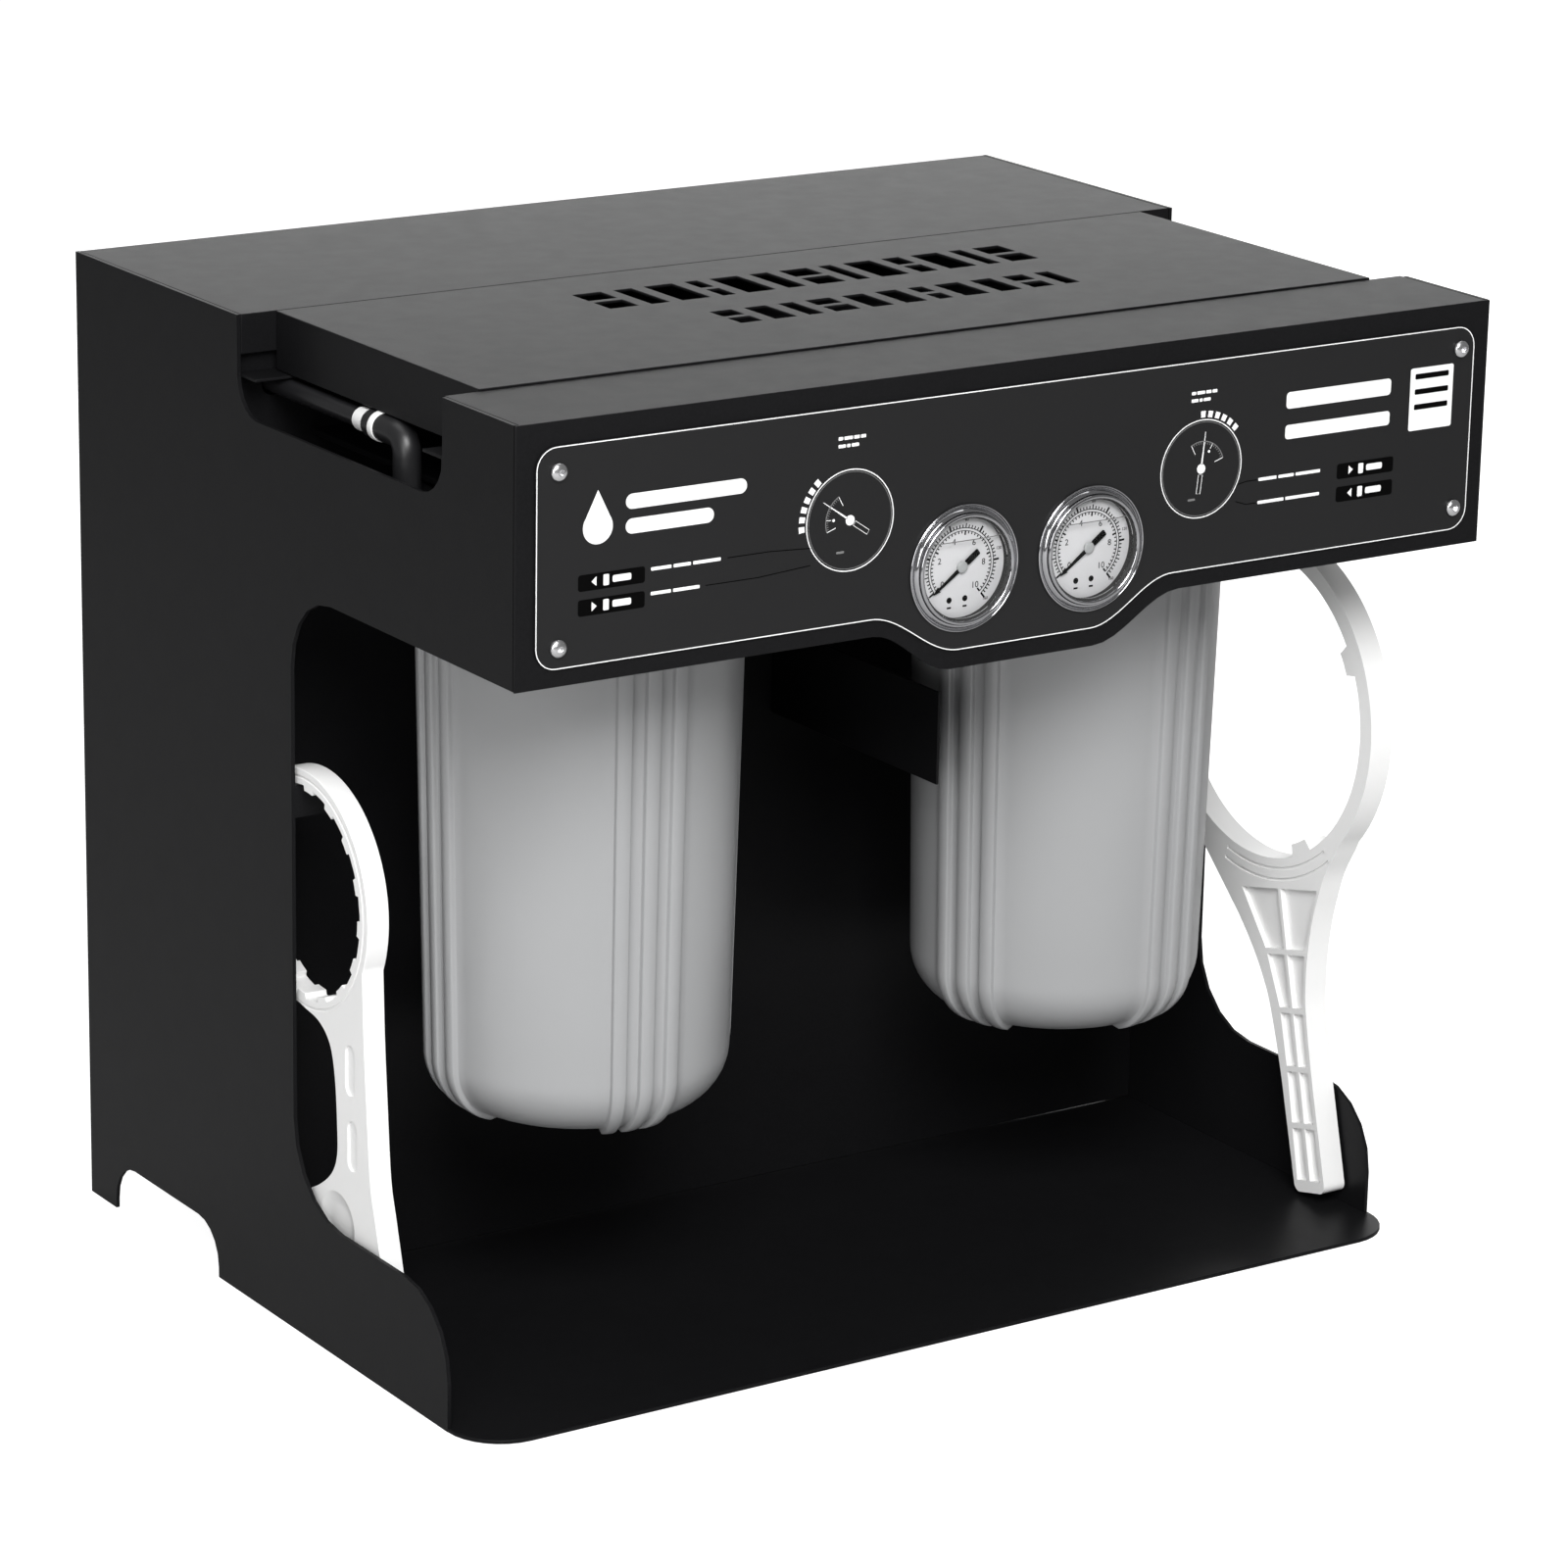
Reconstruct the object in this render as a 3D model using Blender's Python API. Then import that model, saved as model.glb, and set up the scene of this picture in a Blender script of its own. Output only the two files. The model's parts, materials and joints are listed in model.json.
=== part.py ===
"""Reverse osmosis unit: a folded-sheet cabinet with two filter housings hanging in an open
front bay, a header with two pressure gauges, two sump wrenches, and the membranes and the pump
in a closed block at the rear.

Metres, +Z up, front towards -Y. The origin is on the floor under the middle of the unit.
Depths (d) are measured from the cabinet's rear edge towards the front.
"""
import math

import bmesh
import bpy
from mathutils import Matrix, Vector

# Cabinet
WIDTH = 0.570
HEIGHT = 0.5125
DEPTH = 0.4383              # rear edge to the header's front face
PORT_PROUD = 0.016          # ports behind the rear edge
GAUGE_PROUD = 0.0060        # gauges in front of the header's face
REAR_Y = (DEPTH + GAUGE_PROUD - PORT_PROUD) / 2
SHEET = 0.0015
SIDE_SHEET = 0.002
GAP = 0.0003                # between pieces that touch
HALF_IN = WIDTH / 2 - SIDE_SHEET - GAP      # pieces between the side plates end here

# Side plate outline
BLOCK_DEPTH = 0.1735        # the closed block at the rear
NOTCH_FRONT = 0.3725
NOTCH_Z = 0.463
ARCH = (0.029, 0.1445, 0.0275)              # from, to, height
BAY_REAR = 0.226
BAY_TOP = 0.387
TOE_DEPTH = 0.379
TOE_Z = 0.0665
HEADER_TOP = 0.5118
TAB_LENGTH = 0.021
TAB_HEIGHT = 0.016
TAB_THICK = 0.002
TAB_TOP = {"left": 0.2859, "right": 0.3187}    # top of each wrench hook
PIVOT_Z = {"left": 0.2870, "right": 0.3193}    # axis each wrench swings about

# Base, bulkhead and rear block
BASE_FRONT = 0.409
BULKHEAD_FACE = 0.168
BULKHEAD_TOP = 0.4915
REAR_FLOOR_Z = 0.0285
LIP = 0.020

# Top cover
COVER_HALF = 0.2635
COVER_FRONT = 0.3690
COVER_FLANGE_Z = 0.483

# Header and fascia
HEADER_LOW = 0.3865
HEADER_BULGE = 0.3643
HEADER_BULGE_X = (-0.0875, -0.0415, 0.043, 0.095)    # where the bulge starts, levels and ends
FLANGE_REAR = 0.3700
FLANGE_LIP = 0.014
FASCIA_HALF = 0.275
FASCIA_LOW = 0.3953
FASCIA_TOP = 0.5005
FASCIA_BULGE = 0.3738
FASCIA_BULGE_X = (-0.090, -0.038, 0.040, 0.0895)
FASCIA_CORNER = 0.011
FASCIA_THICK = 0.0012
SCREW_HOLE = 0.0023
SCREWS = ((-0.2632, 0.4885), (-0.263, 0.4055), (0.266, 0.489), (0.266, 0.407))

# Gauges
GAUGE_X = (-0.0365, 0.0385)
GAUGE_Z = 0.4145
GAUGE_HOLE = 0.0305
DIAL_FLOOR = -0.0032        # bottom of the gauge's well, from the plate's face
DIAL_FACE = -0.0021
DIAL_R = 0.0254
LENS_REAR = 0.0014
LENS_FRONT = 0.0026
POINTER_REST = math.radians(216)            # pointing down and to the left, at zero

# Filter housings
HOUSING_X = 0.148
HOUSING_D = 0.2736
SUMP_LOW_R = 0.0764
SUMP_TOP_R = 0.0810
SUMP_BOTTOM = 0.117
SUMP_SHOULDER = 0.3885
SUMP_FILLET = 0.031
SUMP_RIM = 0.411
SUMP_NECK_R = 0.0762
SUMP_BORE_R = 0.0700
SUMP_FLOOR = 0.1252
RIB_HEIGHT = 0.003
RIB_HALF_ANGLE = math.radians(2.4)
RIB_PITCH = math.radians(10.5)
RIB_FLARE = 1.4             # foot of a rib to its crest, as a ratio of angles
RIB_TOP = 0.380
CARTRIDGE_R = 0.056
CARTRIDGE_CORE_R = 0.014
CARTRIDGE_TOP = 0.3755
HEAD_R = 0.091
HEAD_TOP = 0.447
PORT_Z = 0.425
PORT_REACH = 0.098
BUTTON_R = 0.0072
BRACKET_THICK = 0.003

# Wrenches, in the depth-height plane
SMALL_C = (0.2315, 0.2325)
SMALL_IN, SMALL_OUT = 0.055, 0.063
SMALL_X = -0.281
SMALL_THICK = 0.012
LARGE_C = (0.290, 0.2667)
LARGE_IN, LARGE_OUT = 0.0845, 0.0938
LARGE_X = 0.2675
LARGE_THICK = 0.014
LARGE_TILT = math.radians(13.3)
LARGE_LENGTH = 0.2670       # ring centre to the handle's end

# Rear block contents
MOTOR_D, MOTOR_Z, MOTOR_R = 0.086, 0.105, 0.055
VESSEL_X = (-0.222, -0.119, -0.016)
VESSEL_D = 0.086
VESSEL_R, VESSEL_CAP_R = 0.0445, 0.050
RACK_Z = 0.250
FEED_X = 0.080              # the riser from the pump
PIPE_R = 0.007
HOSE_X, HOSE_Z = -0.262, 0.4755


# ---------------------------------------------------------------- helpers

def clear_scene():
    for obj in list(bpy.data.objects):
        bpy.data.objects.remove(obj)


def material(name, colour, roughness, metallic=0.0):
    mat = bpy.data.materials.get(name)
    if mat:
        return mat
    mat = bpy.data.materials.new(name)
    mat.use_nodes = True
    shader = mat.node_tree.nodes["Principled BSDF"]
    shader.inputs["Base Color"].default_value = (*colour, 1.0)
    shader.inputs["Roughness"].default_value = roughness
    shader.inputs["Metallic"].default_value = metallic
    return mat


def black_coat():
    return material("black_coat", (0.020, 0.020, 0.022), 0.45)


def grey_plate():
    return material("grey_plate", (0.036, 0.036, 0.038), 0.5)


def grey_plastic():
    return material("grey_plastic", (0.36, 0.37, 0.37), 0.35)


def black_plastic():
    return material("black_plastic", (0.015, 0.015, 0.016), 0.4)


def white_plastic():
    return material("white_plastic", (0.85, 0.85, 0.85), 0.4)


def chrome():
    return material("chrome", (0.8, 0.8, 0.82), 0.08, 1.0)


def steel():
    return material("steel", (0.55, 0.55, 0.56), 0.3, 1.0)


def paint_red():
    return material("red_plastic", (0.6, 0.02, 0.02), 0.4)


def rubber():
    return material("rubber", (0.02, 0.02, 0.02), 0.8)


def y_of(d):
    return REAR_Y - d


def add_object(name, bm, mat, smooth=False, origin=(0, 0, 0), parent=None):
    """Turns a mesh built in world coordinates into an object whose origin is on its joint."""
    bmesh.ops.remove_doubles(bm, verts=bm.verts, dist=1e-6)
    bmesh.ops.recalc_face_normals(bm, faces=bm.faces)
    mesh = bpy.data.meshes.new(name)
    bmesh.ops.translate(bm, vec=-Vector(origin), verts=bm.verts)
    bm.to_mesh(mesh)
    bm.free()
    mesh.materials.append(mat)
    if smooth:
        mesh.shade_smooth()
        mesh.set_sharp_from_angle(angle=math.radians(35))
    obj = bpy.data.objects.new(name, mesh)
    bpy.context.collection.objects.link(obj)
    obj.location = origin
    if parent:
        obj.parent = parent
        obj.location = Vector(origin) - parent.location
    return obj


def combine(obj, other, operation):
    """Boolean with a helper object that is not part of the model."""
    other.hide_render = True
    other.display_type = 'WIRE'
    mod = obj.modifiers.new(operation.lower(), 'BOOLEAN')
    mod.operation = operation
    mod.solver = 'EXACT'
    mod.object = other
    return obj


def joined(parts):
    """One mesh that holds several closed ones, for use as a helper."""
    whole = bmesh.new()
    for part in parts:
        bmesh.ops.recalc_face_normals(part, faces=part.faces)
        mesh = bpy.data.meshes.new("helper")
        part.to_mesh(mesh)
        part.free()
        whole.from_mesh(mesh)
    return whole


def arc(centre, radius, start, end, steps):
    """Points along an arc, both ends included; angles in radians."""
    points = []
    for i in range(steps + 1):
        a = start + (end - start) * i / steps
        points.append((centre[0] + radius * math.cos(a), centre[1] + radius * math.sin(a)))
    return points


def rounded(corners, step=math.radians(18)):
    """Polygon with rounded corners; each corner is (a, b, radius)."""
    points = []
    for i, (a, b, radius) in enumerate(corners):
        here = Vector((a, b))
        if radius == 0:
            points.append((a, b))
            continue
        back = (Vector(corners[i - 1][:2]) - here).normalized()
        ahead = (Vector(corners[(i + 1) % len(corners)][:2]) - here).normalized()
        half = back.angle(ahead) / 2
        centre = here + (back + ahead).normalized() * radius / math.sin(half)
        first = here + back * radius / math.tan(half) - centre
        last = here + ahead * radius / math.tan(half) - centre
        start = math.atan2(first.y, first.x)
        sweep = first.angle_signed(last) * -1
        points += arc(centre, radius, start, start + sweep, max(2, round(abs(sweep) / step)))
    return points


def s_curve(x0, z0, x1, z1, steps=8):
    """Points of a smooth step from one height to another, without its two ends."""
    points = []
    for i in range(1, steps):
        t = i / steps
        points.append((x0 + (x1 - x0) * t, z0 + (z1 - z0) * (1 - math.cos(math.pi * t)) / 2))
    return points


def circle(centre, radius, steps):
    return arc(centre, radius, 0, 2 * math.pi, steps)[:-1]


def rectangle(a0, a1, b0, b1):
    return [(a0, b0), (a1, b0), (a1, b1), (a0, b1)]


def extrude(loops, place, thickness):
    """Closed plate: loops[0] is the outline and the others are holes."""
    bm = bmesh.new()
    edges = []
    for loop in loops:
        verts = [bm.verts.new(place(a, b, 0.0)) for a, b in loop]
        edges += [bm.edges.new((verts[i - 1], vert)) for i, vert in enumerate(verts)]
    bmesh.ops.triangle_fill(bm, use_beauty=True, use_dissolve=False, edges=edges)
    result = bmesh.ops.extrude_face_region(bm, geom=bm.faces[:])
    moved = [item for item in result["geom"] if isinstance(item, bmesh.types.BMVert)]
    shift = Vector(place(0, 0, thickness)) - Vector(place(0, 0, 0))
    bmesh.ops.translate(bm, vec=shift, verts=moved)
    return bm


def across(x):
    """Plates in the depth-height plane, from x towards +X."""
    return lambda d, z, t: (x + t, y_of(d), z)


def facing(d):
    """Plates in the width-height plane, from depth d towards the rear."""
    return lambda x, z, t: (x, y_of(d) + t, z)


def level(z):
    """Plates in the width-depth plane, from z upwards."""
    return lambda x, d, t: (x, y_of(d), z + t)


def turned(profile, segments, axis="Z", at=(0, 0, 0), closed=False):
    """Solid of revolution of (radius, height) points about an axis through `at`."""
    frames = {
        "Z": lambda r, h, c, s: (r * c, r * s, h),
        "X": lambda r, h, c, s: (h, r * c, r * s),
        "-Y": lambda r, h, c, s: (r * c, -h, r * s),
        "Y": lambda r, h, c, s: (r * s, h, r * c),
    }
    bm = bmesh.new()
    rings = []
    for radius, height in profile:
        count = segments if radius > 0 else 1
        ring = []
        for i in range(count):
            a = 2 * math.pi * i / segments
            local = frames[axis](radius, height, math.cos(a), math.sin(a))
            ring.append(bm.verts.new(Vector(at) + Vector(local)))
        rings.append(ring)
    pairs = list(zip(rings, rings[1:]))
    if closed:
        pairs.append((rings[-1], rings[0]))
    for low, high in pairs:
        for i in range(segments):
            j = (i + 1) % segments
            corners = [low[i % len(low)], low[j % len(low)], high[j % len(high)], high[i % len(high)]]
            unique = list(dict.fromkeys(corners))
            if len(unique) > 2:
                bm.faces.new(unique)
    return bm


def box(x0, x1, d0, d1, z0, z1):
    return extrude([rectangle(x0, x1, d0, d1)], level(z0), z1 - z0)


def smooth_path(points, radius, steps=3):
    """Polyline in space with its corners rounded to the given radius."""
    path = [Vector(points[0])]
    for before, here, after in zip(points, points[1:], points[2:]):
        here = Vector(here)
        back = (Vector(before) - here).normalized()
        ahead = (Vector(after) - here).normalized()
        start = here + back * radius
        end = here + ahead * radius
        for i in range(steps + 1):
            t = i / steps
            path.append(start * (1 - t) ** 2 + here * 2 * t * (1 - t) + end * t ** 2)
    path.append(Vector(points[-1]))
    return path


def tube(points, radius, bend, segments=10):
    """Round bar along a path given in (x, depth, z)."""
    path = smooth_path([(x, y_of(d), z) for x, d, z in points], bend)
    bm = bmesh.new()
    side = None
    rings = []
    for i, point in enumerate(path):
        ahead = (path[min(i + 1, len(path) - 1)] - path[max(i - 1, 0)]).normalized()
        if side is None:
            side = ahead.orthogonal().normalized()
        side = (side - ahead * side.dot(ahead)).normalized()
        other = ahead.cross(side)
        ring = []
        for k in range(segments):
            a = 2 * math.pi * k / segments
            ring.append(bm.verts.new(point + (side * math.cos(a) + other * math.sin(a)) * radius))
        rings.append(ring)
    for low, high in zip(rings, rings[1:]):
        for i in range(segments):
            j = (i + 1) % segments
            bm.faces.new((low[i], low[j], high[j], high[i]))
    bm.faces.new(rings[0])
    bm.faces.new(rings[-1])
    return bm


# ---------------------------------------------------------------- cabinet

def side_outline():
    return rounded([
        (0, 0, 0), (ARCH[0], 0, 0), (ARCH[0], ARCH[2], 0.022), (ARCH[1], ARCH[2], 0.022),
        (ARCH[1], 0, 0), (TOE_DEPTH, 0, 0), (TOE_DEPTH, TOE_Z, 0.042), (BAY_REAR, TOE_Z, 0.047),
        (BAY_REAR, BAY_TOP, 0.040), (DEPTH - SHEET - GAP, BAY_TOP, 0),
        (DEPTH - SHEET - GAP, HEADER_TOP, 0), (NOTCH_FRONT, HEADER_TOP, 0),
        (NOTCH_FRONT, NOTCH_Z, 0.020), (BLOCK_DEPTH, NOTCH_Z, 0.020), (BLOCK_DEPTH, HEIGHT, 0),
        (0, HEIGHT, 0),
    ])


def side_plate(side, sign):
    """Side sheet with the hand-hold notch, the bay opening, the arch and the bent wrench tab."""
    low_x = -WIDTH / 2 if sign < 0 else WIDTH / 2 - SIDE_SHEET
    plate = add_object(f"side_plate_{side}", extrude([side_outline()], across(low_x), SIDE_SHEET),
                       black_coat())
    outer = WIDTH / 2 - SIDE_SHEET / 4
    inner = WIDTH / 2 - SIDE_SHEET - TAB_LENGTH
    x0, x1 = sorted((sign * outer, sign * inner))
    top = TAB_TOP[side]
    tab = box(x0, x1, BAY_REAR - TAB_THICK, BAY_REAR - GAP / 10, top - TAB_HEIGHT, top)
    return combine(plate, add_object(f"tab_{side}_helper", tab, black_coat()), 'UNION')


def base_plate():
    """Floor of the bay; it widens to the full width in front of the side plates."""
    radius = BASE_FRONT - TOE_DEPTH - GAP
    step = TOE_DEPTH + GAP
    half = WIDTH / 2
    outline = rounded([
        (-HALF_IN, BULKHEAD_FACE - SHEET, 0), (HALF_IN, BULKHEAD_FACE - SHEET, 0),
        (HALF_IN, step, 0), (half, step, 0), (half, BASE_FRONT, radius * 0.99),
        (-half, BASE_FRONT, radius * 0.99), (-half, step, 0), (-HALF_IN, step, 0),
    ], math.radians(12))
    add_object("base_plate", extrude([outline], level(0), SIDE_SHEET), black_coat())


def bulkhead_panel():
    """Partition between the bay and the rear block, with the hose hole."""
    outline = rectangle(-HALF_IN, HALF_IN, SIDE_SHEET + GAP, BULKHEAD_TOP)
    hole = circle((HOSE_X, HOSE_Z), 0.0065, 12)
    add_object("bulkhead_panel", extrude([outline, hole], facing(BULKHEAD_FACE), SHEET), black_coat())


def rear_floor_panel():
    outline = rectangle(-HALF_IN, HALF_IN, SHEET + GAP, BULKHEAD_FACE - SHEET - GAP)
    add_object("rear_floor_panel", extrude([outline], level(REAR_FLOOR_Z), SHEET), black_coat())


def rear_top_panel():
    """Top of the rear block with its folded front lip."""
    top, under = HEIGHT, HEIGHT - SHEET
    profile = [(0, under), (BLOCK_DEPTH - SHEET, under), (BLOCK_DEPTH - SHEET, top - LIP),
               (BLOCK_DEPTH, top - LIP), (BLOCK_DEPTH, top), (0, top)]
    add_object("rear_top_panel", extrude([profile], across(-HALF_IN), 2 * HALF_IN), black_coat())


PORTS = {"inlet_port": (HOSE_X, HOSE_Z), "permeate_port": (0.060, 0.4497), "drain_port": (0.120, 0.4497)}
PORT_HOLE_R = 0.0100
POWER_AT = (0.215, 0.075)
POWER_HALF = (0.0145, 0.0110)


def back_panel():
    """Rear sheet with the port holes, the power inlet's cut-out and two banks of air slots."""
    outline = rectangle(-HALF_IN, HALF_IN, REAR_FLOOR_Z, HEIGHT - SHEET - GAP)
    holes = [circle(centre, PORT_HOLE_R, 14) for centre in PORTS.values()]
    x, z = POWER_AT
    holes.append(rectangle(x - POWER_HALF[0], x + POWER_HALF[0], z - POWER_HALF[1], z + POWER_HALF[1]))
    for column in (-0.200, 0.100):
        for row in range(6):
            low = 0.150 + 0.014 * row
            holes.append(rectangle(column, column + 0.070, low, low + 0.005))
    add_object("back_panel", extrude([outline] + holes, facing(SHEET), SHEET), black_coat())


def back_ports():
    """Threaded hose nipples clamped through the back panel."""
    profile = [(0, -0.016), (0.0093, -0.016), (0.0093, GAP), (0.0140, GAP), (0.0140, 0.0048),
               (0.0095, 0.0052), (0.0095, PORT_PROUD), (0.0065, PORT_PROUD), (0.0065, 0.0020), (0, 0.0020)]
    for name, (x, z) in PORTS.items():
        add_object(name, turned(profile, 14, "Y", (x, REAR_Y, z)), black_plastic(), True)


def power_inlet():
    """Appliance inlet: a flange outside, a body through the cut-out and a socket in it."""
    x, z = POWER_AT
    half_x, half_z = (size - GAP for size in POWER_HALF)
    inlet = add_object("power_inlet", box(x - half_x, x + half_x, -0.001, 0.022, z - half_z, z + half_z),
                       black_plastic())
    flange = box(x - 0.020, x + 0.020, -0.0030, -GAP, z - 0.0135, z + 0.0135)
    combine(inlet, add_object("power_flange_helper", flange, black_plastic()), 'UNION')
    socket = box(x - 0.0115, x + 0.0115, -0.004, 0.014, z - 0.0080, z + 0.0080)
    combine(inlet, add_object("power_socket_helper", socket, black_plastic()), 'DIFFERENCE')


def cover_ledges():
    """Angles that carry the lift-off cover at its rear and front."""
    top = COVER_FLANGE_Z - GAP
    for name, start, end, leg in (
            ("cover_ledge_rear", BULKHEAD_FACE + GAP, 0.188, BULKHEAD_FACE + GAP),
            ("cover_ledge_front", 0.350, COVER_FRONT, COVER_FRONT - SHEET)):
        profile = [(start, top), (start, top - SHEET)]
        low = top - 0.012 if name.endswith("front") else top - SHEET
        if name.endswith("front"):
            profile += [(leg, top - SHEET), (leg, low), (end, low)]
        else:
            profile += [(end, top - SHEET)]
        profile.append((end, top))
        add_object(name, extrude([profile], across(-HALF_IN), 2 * HALF_IN), black_coat())


def cover_pattern():
    """Stencil-like slots: two rows of plain bars with bridges, no lettering."""
    bars = []
    rows = ((0.230, 0.036, -0.117, 13, (0.016, 0.010, 0.016, 0.007)),
            (0.292, 0.028, -0.078, 11, (0.012, 0.012, 0.008, 0.014)))
    for middle, tall, start, count, widths in rows:
        x = start
        for i in range(count):
            wide = widths[i % len(widths)]
            split = 0.0 if i % 3 else 0.005
            d0, d1 = middle - tall / 2, middle + tall / 2
            if split:
                bars.append((x, x + wide, d0, middle - split / 2))
                bars.append((x, x + wide, middle + split / 2, d1))
            else:
                bars.append((x, x + wide, d0, d1))
            x += wide + 0.008
    return bars


def top_cover():
    """Lift-off cover over the filter heads: a shallow channel with cut-through slots."""
    inner = COVER_HALF - SHEET
    profile = [(-COVER_HALF, COVER_FLANGE_Z), (-inner, COVER_FLANGE_Z), (-inner, HEIGHT - SHEET),
               (inner, HEIGHT - SHEET), (inner, COVER_FLANGE_Z), (COVER_HALF, COVER_FLANGE_Z),
               (COVER_HALF, HEIGHT), (-COVER_HALF, HEIGHT)]
    length = COVER_FRONT - BLOCK_DEPTH - 2 * GAP
    cover = add_object("top_cover", extrude([profile], facing(COVER_FRONT), length), black_coat())
    bm = bmesh.new()
    for x0, x1, d0, d1 in cover_pattern():
        size = Matrix.Diagonal((x1 - x0, d1 - d0, 0.01, 1))
        spot = Matrix.Translation(((x0 + x1) / 2, y_of((d0 + d1) / 2), HEIGHT))
        bmesh.ops.create_cube(bm, size=1.0, matrix=spot @ size)
    combine(cover, add_object("cover_slots_helper", bm, black_coat()), 'DIFFERENCE')


def front_holes():
    """Holes for the gauges and the fascia screws."""
    holes = [circle((x, GAUGE_Z), GAUGE_HOLE, 20) for x in GAUGE_X]
    return holes + [circle(centre, SCREW_HOLE, 8) for centre in SCREWS]


def header_panel():
    """Front sheet with the lower bulge, folded back over the top, with two gauge holes."""
    half = WIDTH / 2
    left_out, left_in, right_in, right_out = HEADER_BULGE_X
    outline = [(-half, HEADER_TOP), (-half, HEADER_LOW)]
    outline += [(left_out, HEADER_LOW)] + s_curve(left_out, HEADER_LOW, left_in, HEADER_BULGE)
    outline += [(left_in, HEADER_BULGE), (right_in, HEADER_BULGE)]
    outline += s_curve(right_in, HEADER_BULGE, right_out, HEADER_LOW) + [(right_out, HEADER_LOW)]
    outline += [(half, HEADER_LOW), (half, HEADER_TOP)]
    header = add_object("header_panel", extrude([outline] + front_holes(), facing(DEPTH), SHEET), black_coat())
    top, under = HEADER_TOP, HEADER_TOP - SHEET
    lip = top - FLANGE_LIP
    profile = [(DEPTH - SHEET / 2, top), (DEPTH - SHEET / 2, under), (FLANGE_REAR + SHEET, under),
               (FLANGE_REAR + SHEET, lip), (FLANGE_REAR, lip), (FLANGE_REAR, top)]
    flange = extrude([profile], across(-HALF_IN), 2 * HALF_IN)
    combine(header, add_object("header_flange_helper", flange, black_coat()), 'UNION')


def fascia_plate():
    """Printed plate on the header with a bulge under the gauges."""
    left_out, left_in, right_in, right_out = FASCIA_BULGE_X
    bulge = [(left_out, FASCIA_LOW)] + s_curve(left_out, FASCIA_LOW, left_in, FASCIA_BULGE)
    bulge += [(left_in, FASCIA_BULGE), (right_in, FASCIA_BULGE)]
    bulge += s_curve(right_in, FASCIA_BULGE, right_out, FASCIA_LOW) + [(right_out, FASCIA_LOW)]
    corners = [(-FASCIA_HALF, FASCIA_TOP, FASCIA_CORNER), (-FASCIA_HALF, FASCIA_LOW, FASCIA_CORNER)]
    corners += [(x, z, 0) for x, z in bulge]
    corners += [(FASCIA_HALF, FASCIA_LOW, FASCIA_CORNER), (FASCIA_HALF, FASCIA_TOP, FASCIA_CORNER)]
    front = DEPTH + GAP + FASCIA_THICK
    plate = extrude([rounded(corners)] + front_holes(), facing(front), FASCIA_THICK)
    add_object("fascia_plate", plate, grey_plate())
    for i, (x, z) in enumerate(SCREWS, 1):
        profile = [(0, -0.010), (0.0019, -0.010), (0.0019, GAP), (0.0044, GAP), (0.0042, 0.0014),
                   (0.0032, 0.0025), (0.0016, 0.0030), (0, 0.0030)]
        add_object(f"fascia_screw_{i}", turned(profile, 12, "-Y", (x, y_of(front), z)), steel(), True)


def stay_bracket():
    """Small angle on the bulkhead that reaches forward between the housings."""
    x, width, front = 0.0345, 0.020, 0.322
    low, tall = 0.264, 0.049
    start = BULKHEAD_FACE + GAP
    profile = [(x, front), (x, start), (x + width, start), (x + width, start + SHEET),
               (x + SHEET, start + SHEET), (x + SHEET, front)]
    add_object("stay_bracket", extrude([profile], level(low), tall), black_coat())


# ---------------------------------------------------------------- gauges

def gauge(side, x):
    """Liquid-filled gauge: case with its bezel, dial, pointer on its joint, and lens."""
    at = Vector((x, y_of(DEPTH + GAP + FASCIA_THICK), GAUGE_Z))
    front = GAUGE_PROUD - GAP - FASCIA_THICK
    case = [(0, -0.050), (0.007, -0.050), (0.007, -0.032), (0.0298, -0.032), (0.0298, GAP),
            (0.0315, GAP), (0.0315, 0.0014), (0.0300, 0.0022), (0.0280, 0.0032), (0.0272, front - 0.0006),
            (0.0266, front), (0.0258, front - 0.0004), (0.0258, DIAL_FLOOR), (0, DIAL_FLOOR)]
    add_object(f"gauge_case_{side}", turned(case, 28, "-Y", at), chrome(), True)
    rear = DIAL_FLOOR + GAP
    dial = [(0.0018, rear), (DIAL_R, rear), (DIAL_R, DIAL_FACE), (0.0018, DIAL_FACE)]
    add_object(f"gauge_dial_{side}", turned(dial, 20, "-Y", at, True), white_plastic(), True)
    lens = [(0, LENS_REAR), (DIAL_R, LENS_REAR), (DIAL_R, LENS_FRONT), (0, LENS_FRONT)]
    glass = material("glass", (0.8, 0.85, 0.85), 0.05)
    add_object(f"gauge_lens_{side}", turned(lens, 20, "-Y", at), glass, True)
    gauge_pointer(side, at)


def gauge_pointer(side, at):
    """Needle, round hub and tail in one outline, with the arbor behind it."""
    low, thick = -0.0012, 0.0009
    tip, tail, hub, root, tail_half = 0.0205, 0.0110, 0.0034, 0.0011, 0.0017
    outline = [(tip, 0.0003), (hub, root)]
    outline += arc((0, 0), hub, math.radians(25), math.radians(155), 4)
    outline += [(-hub, tail_half), (-tail, tail_half), (-tail, -tail_half), (-hub, -tail_half)]
    outline += arc((0, 0), hub, math.radians(205), math.radians(335), 4)
    outline += [(hub, -root), (tip, -0.0003)]
    cos, sin = math.cos(POINTER_REST), math.sin(POINTER_REST)
    turned_outline = [(a * cos - b * sin, a * sin + b * cos) for a, b in outline]
    place = lambda a, b, t: at + Vector((a, -low - t, b))
    pointer = add_object(f"gauge_pointer_{side}", extrude([turned_outline], place, thick),
                         black_plastic(), False, at)
    rear = DIAL_FLOOR + GAP
    arbor = turned([(0, rear), (0.0012, rear), (0.0012, low + thick / 2), (0, low + thick / 2)],
                   8, "-Y", at)
    combine(pointer, add_object(f"arbor_{side}_helper", arbor, steel()), 'UNION')


# ---------------------------------------------------------------- filter housings

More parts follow.
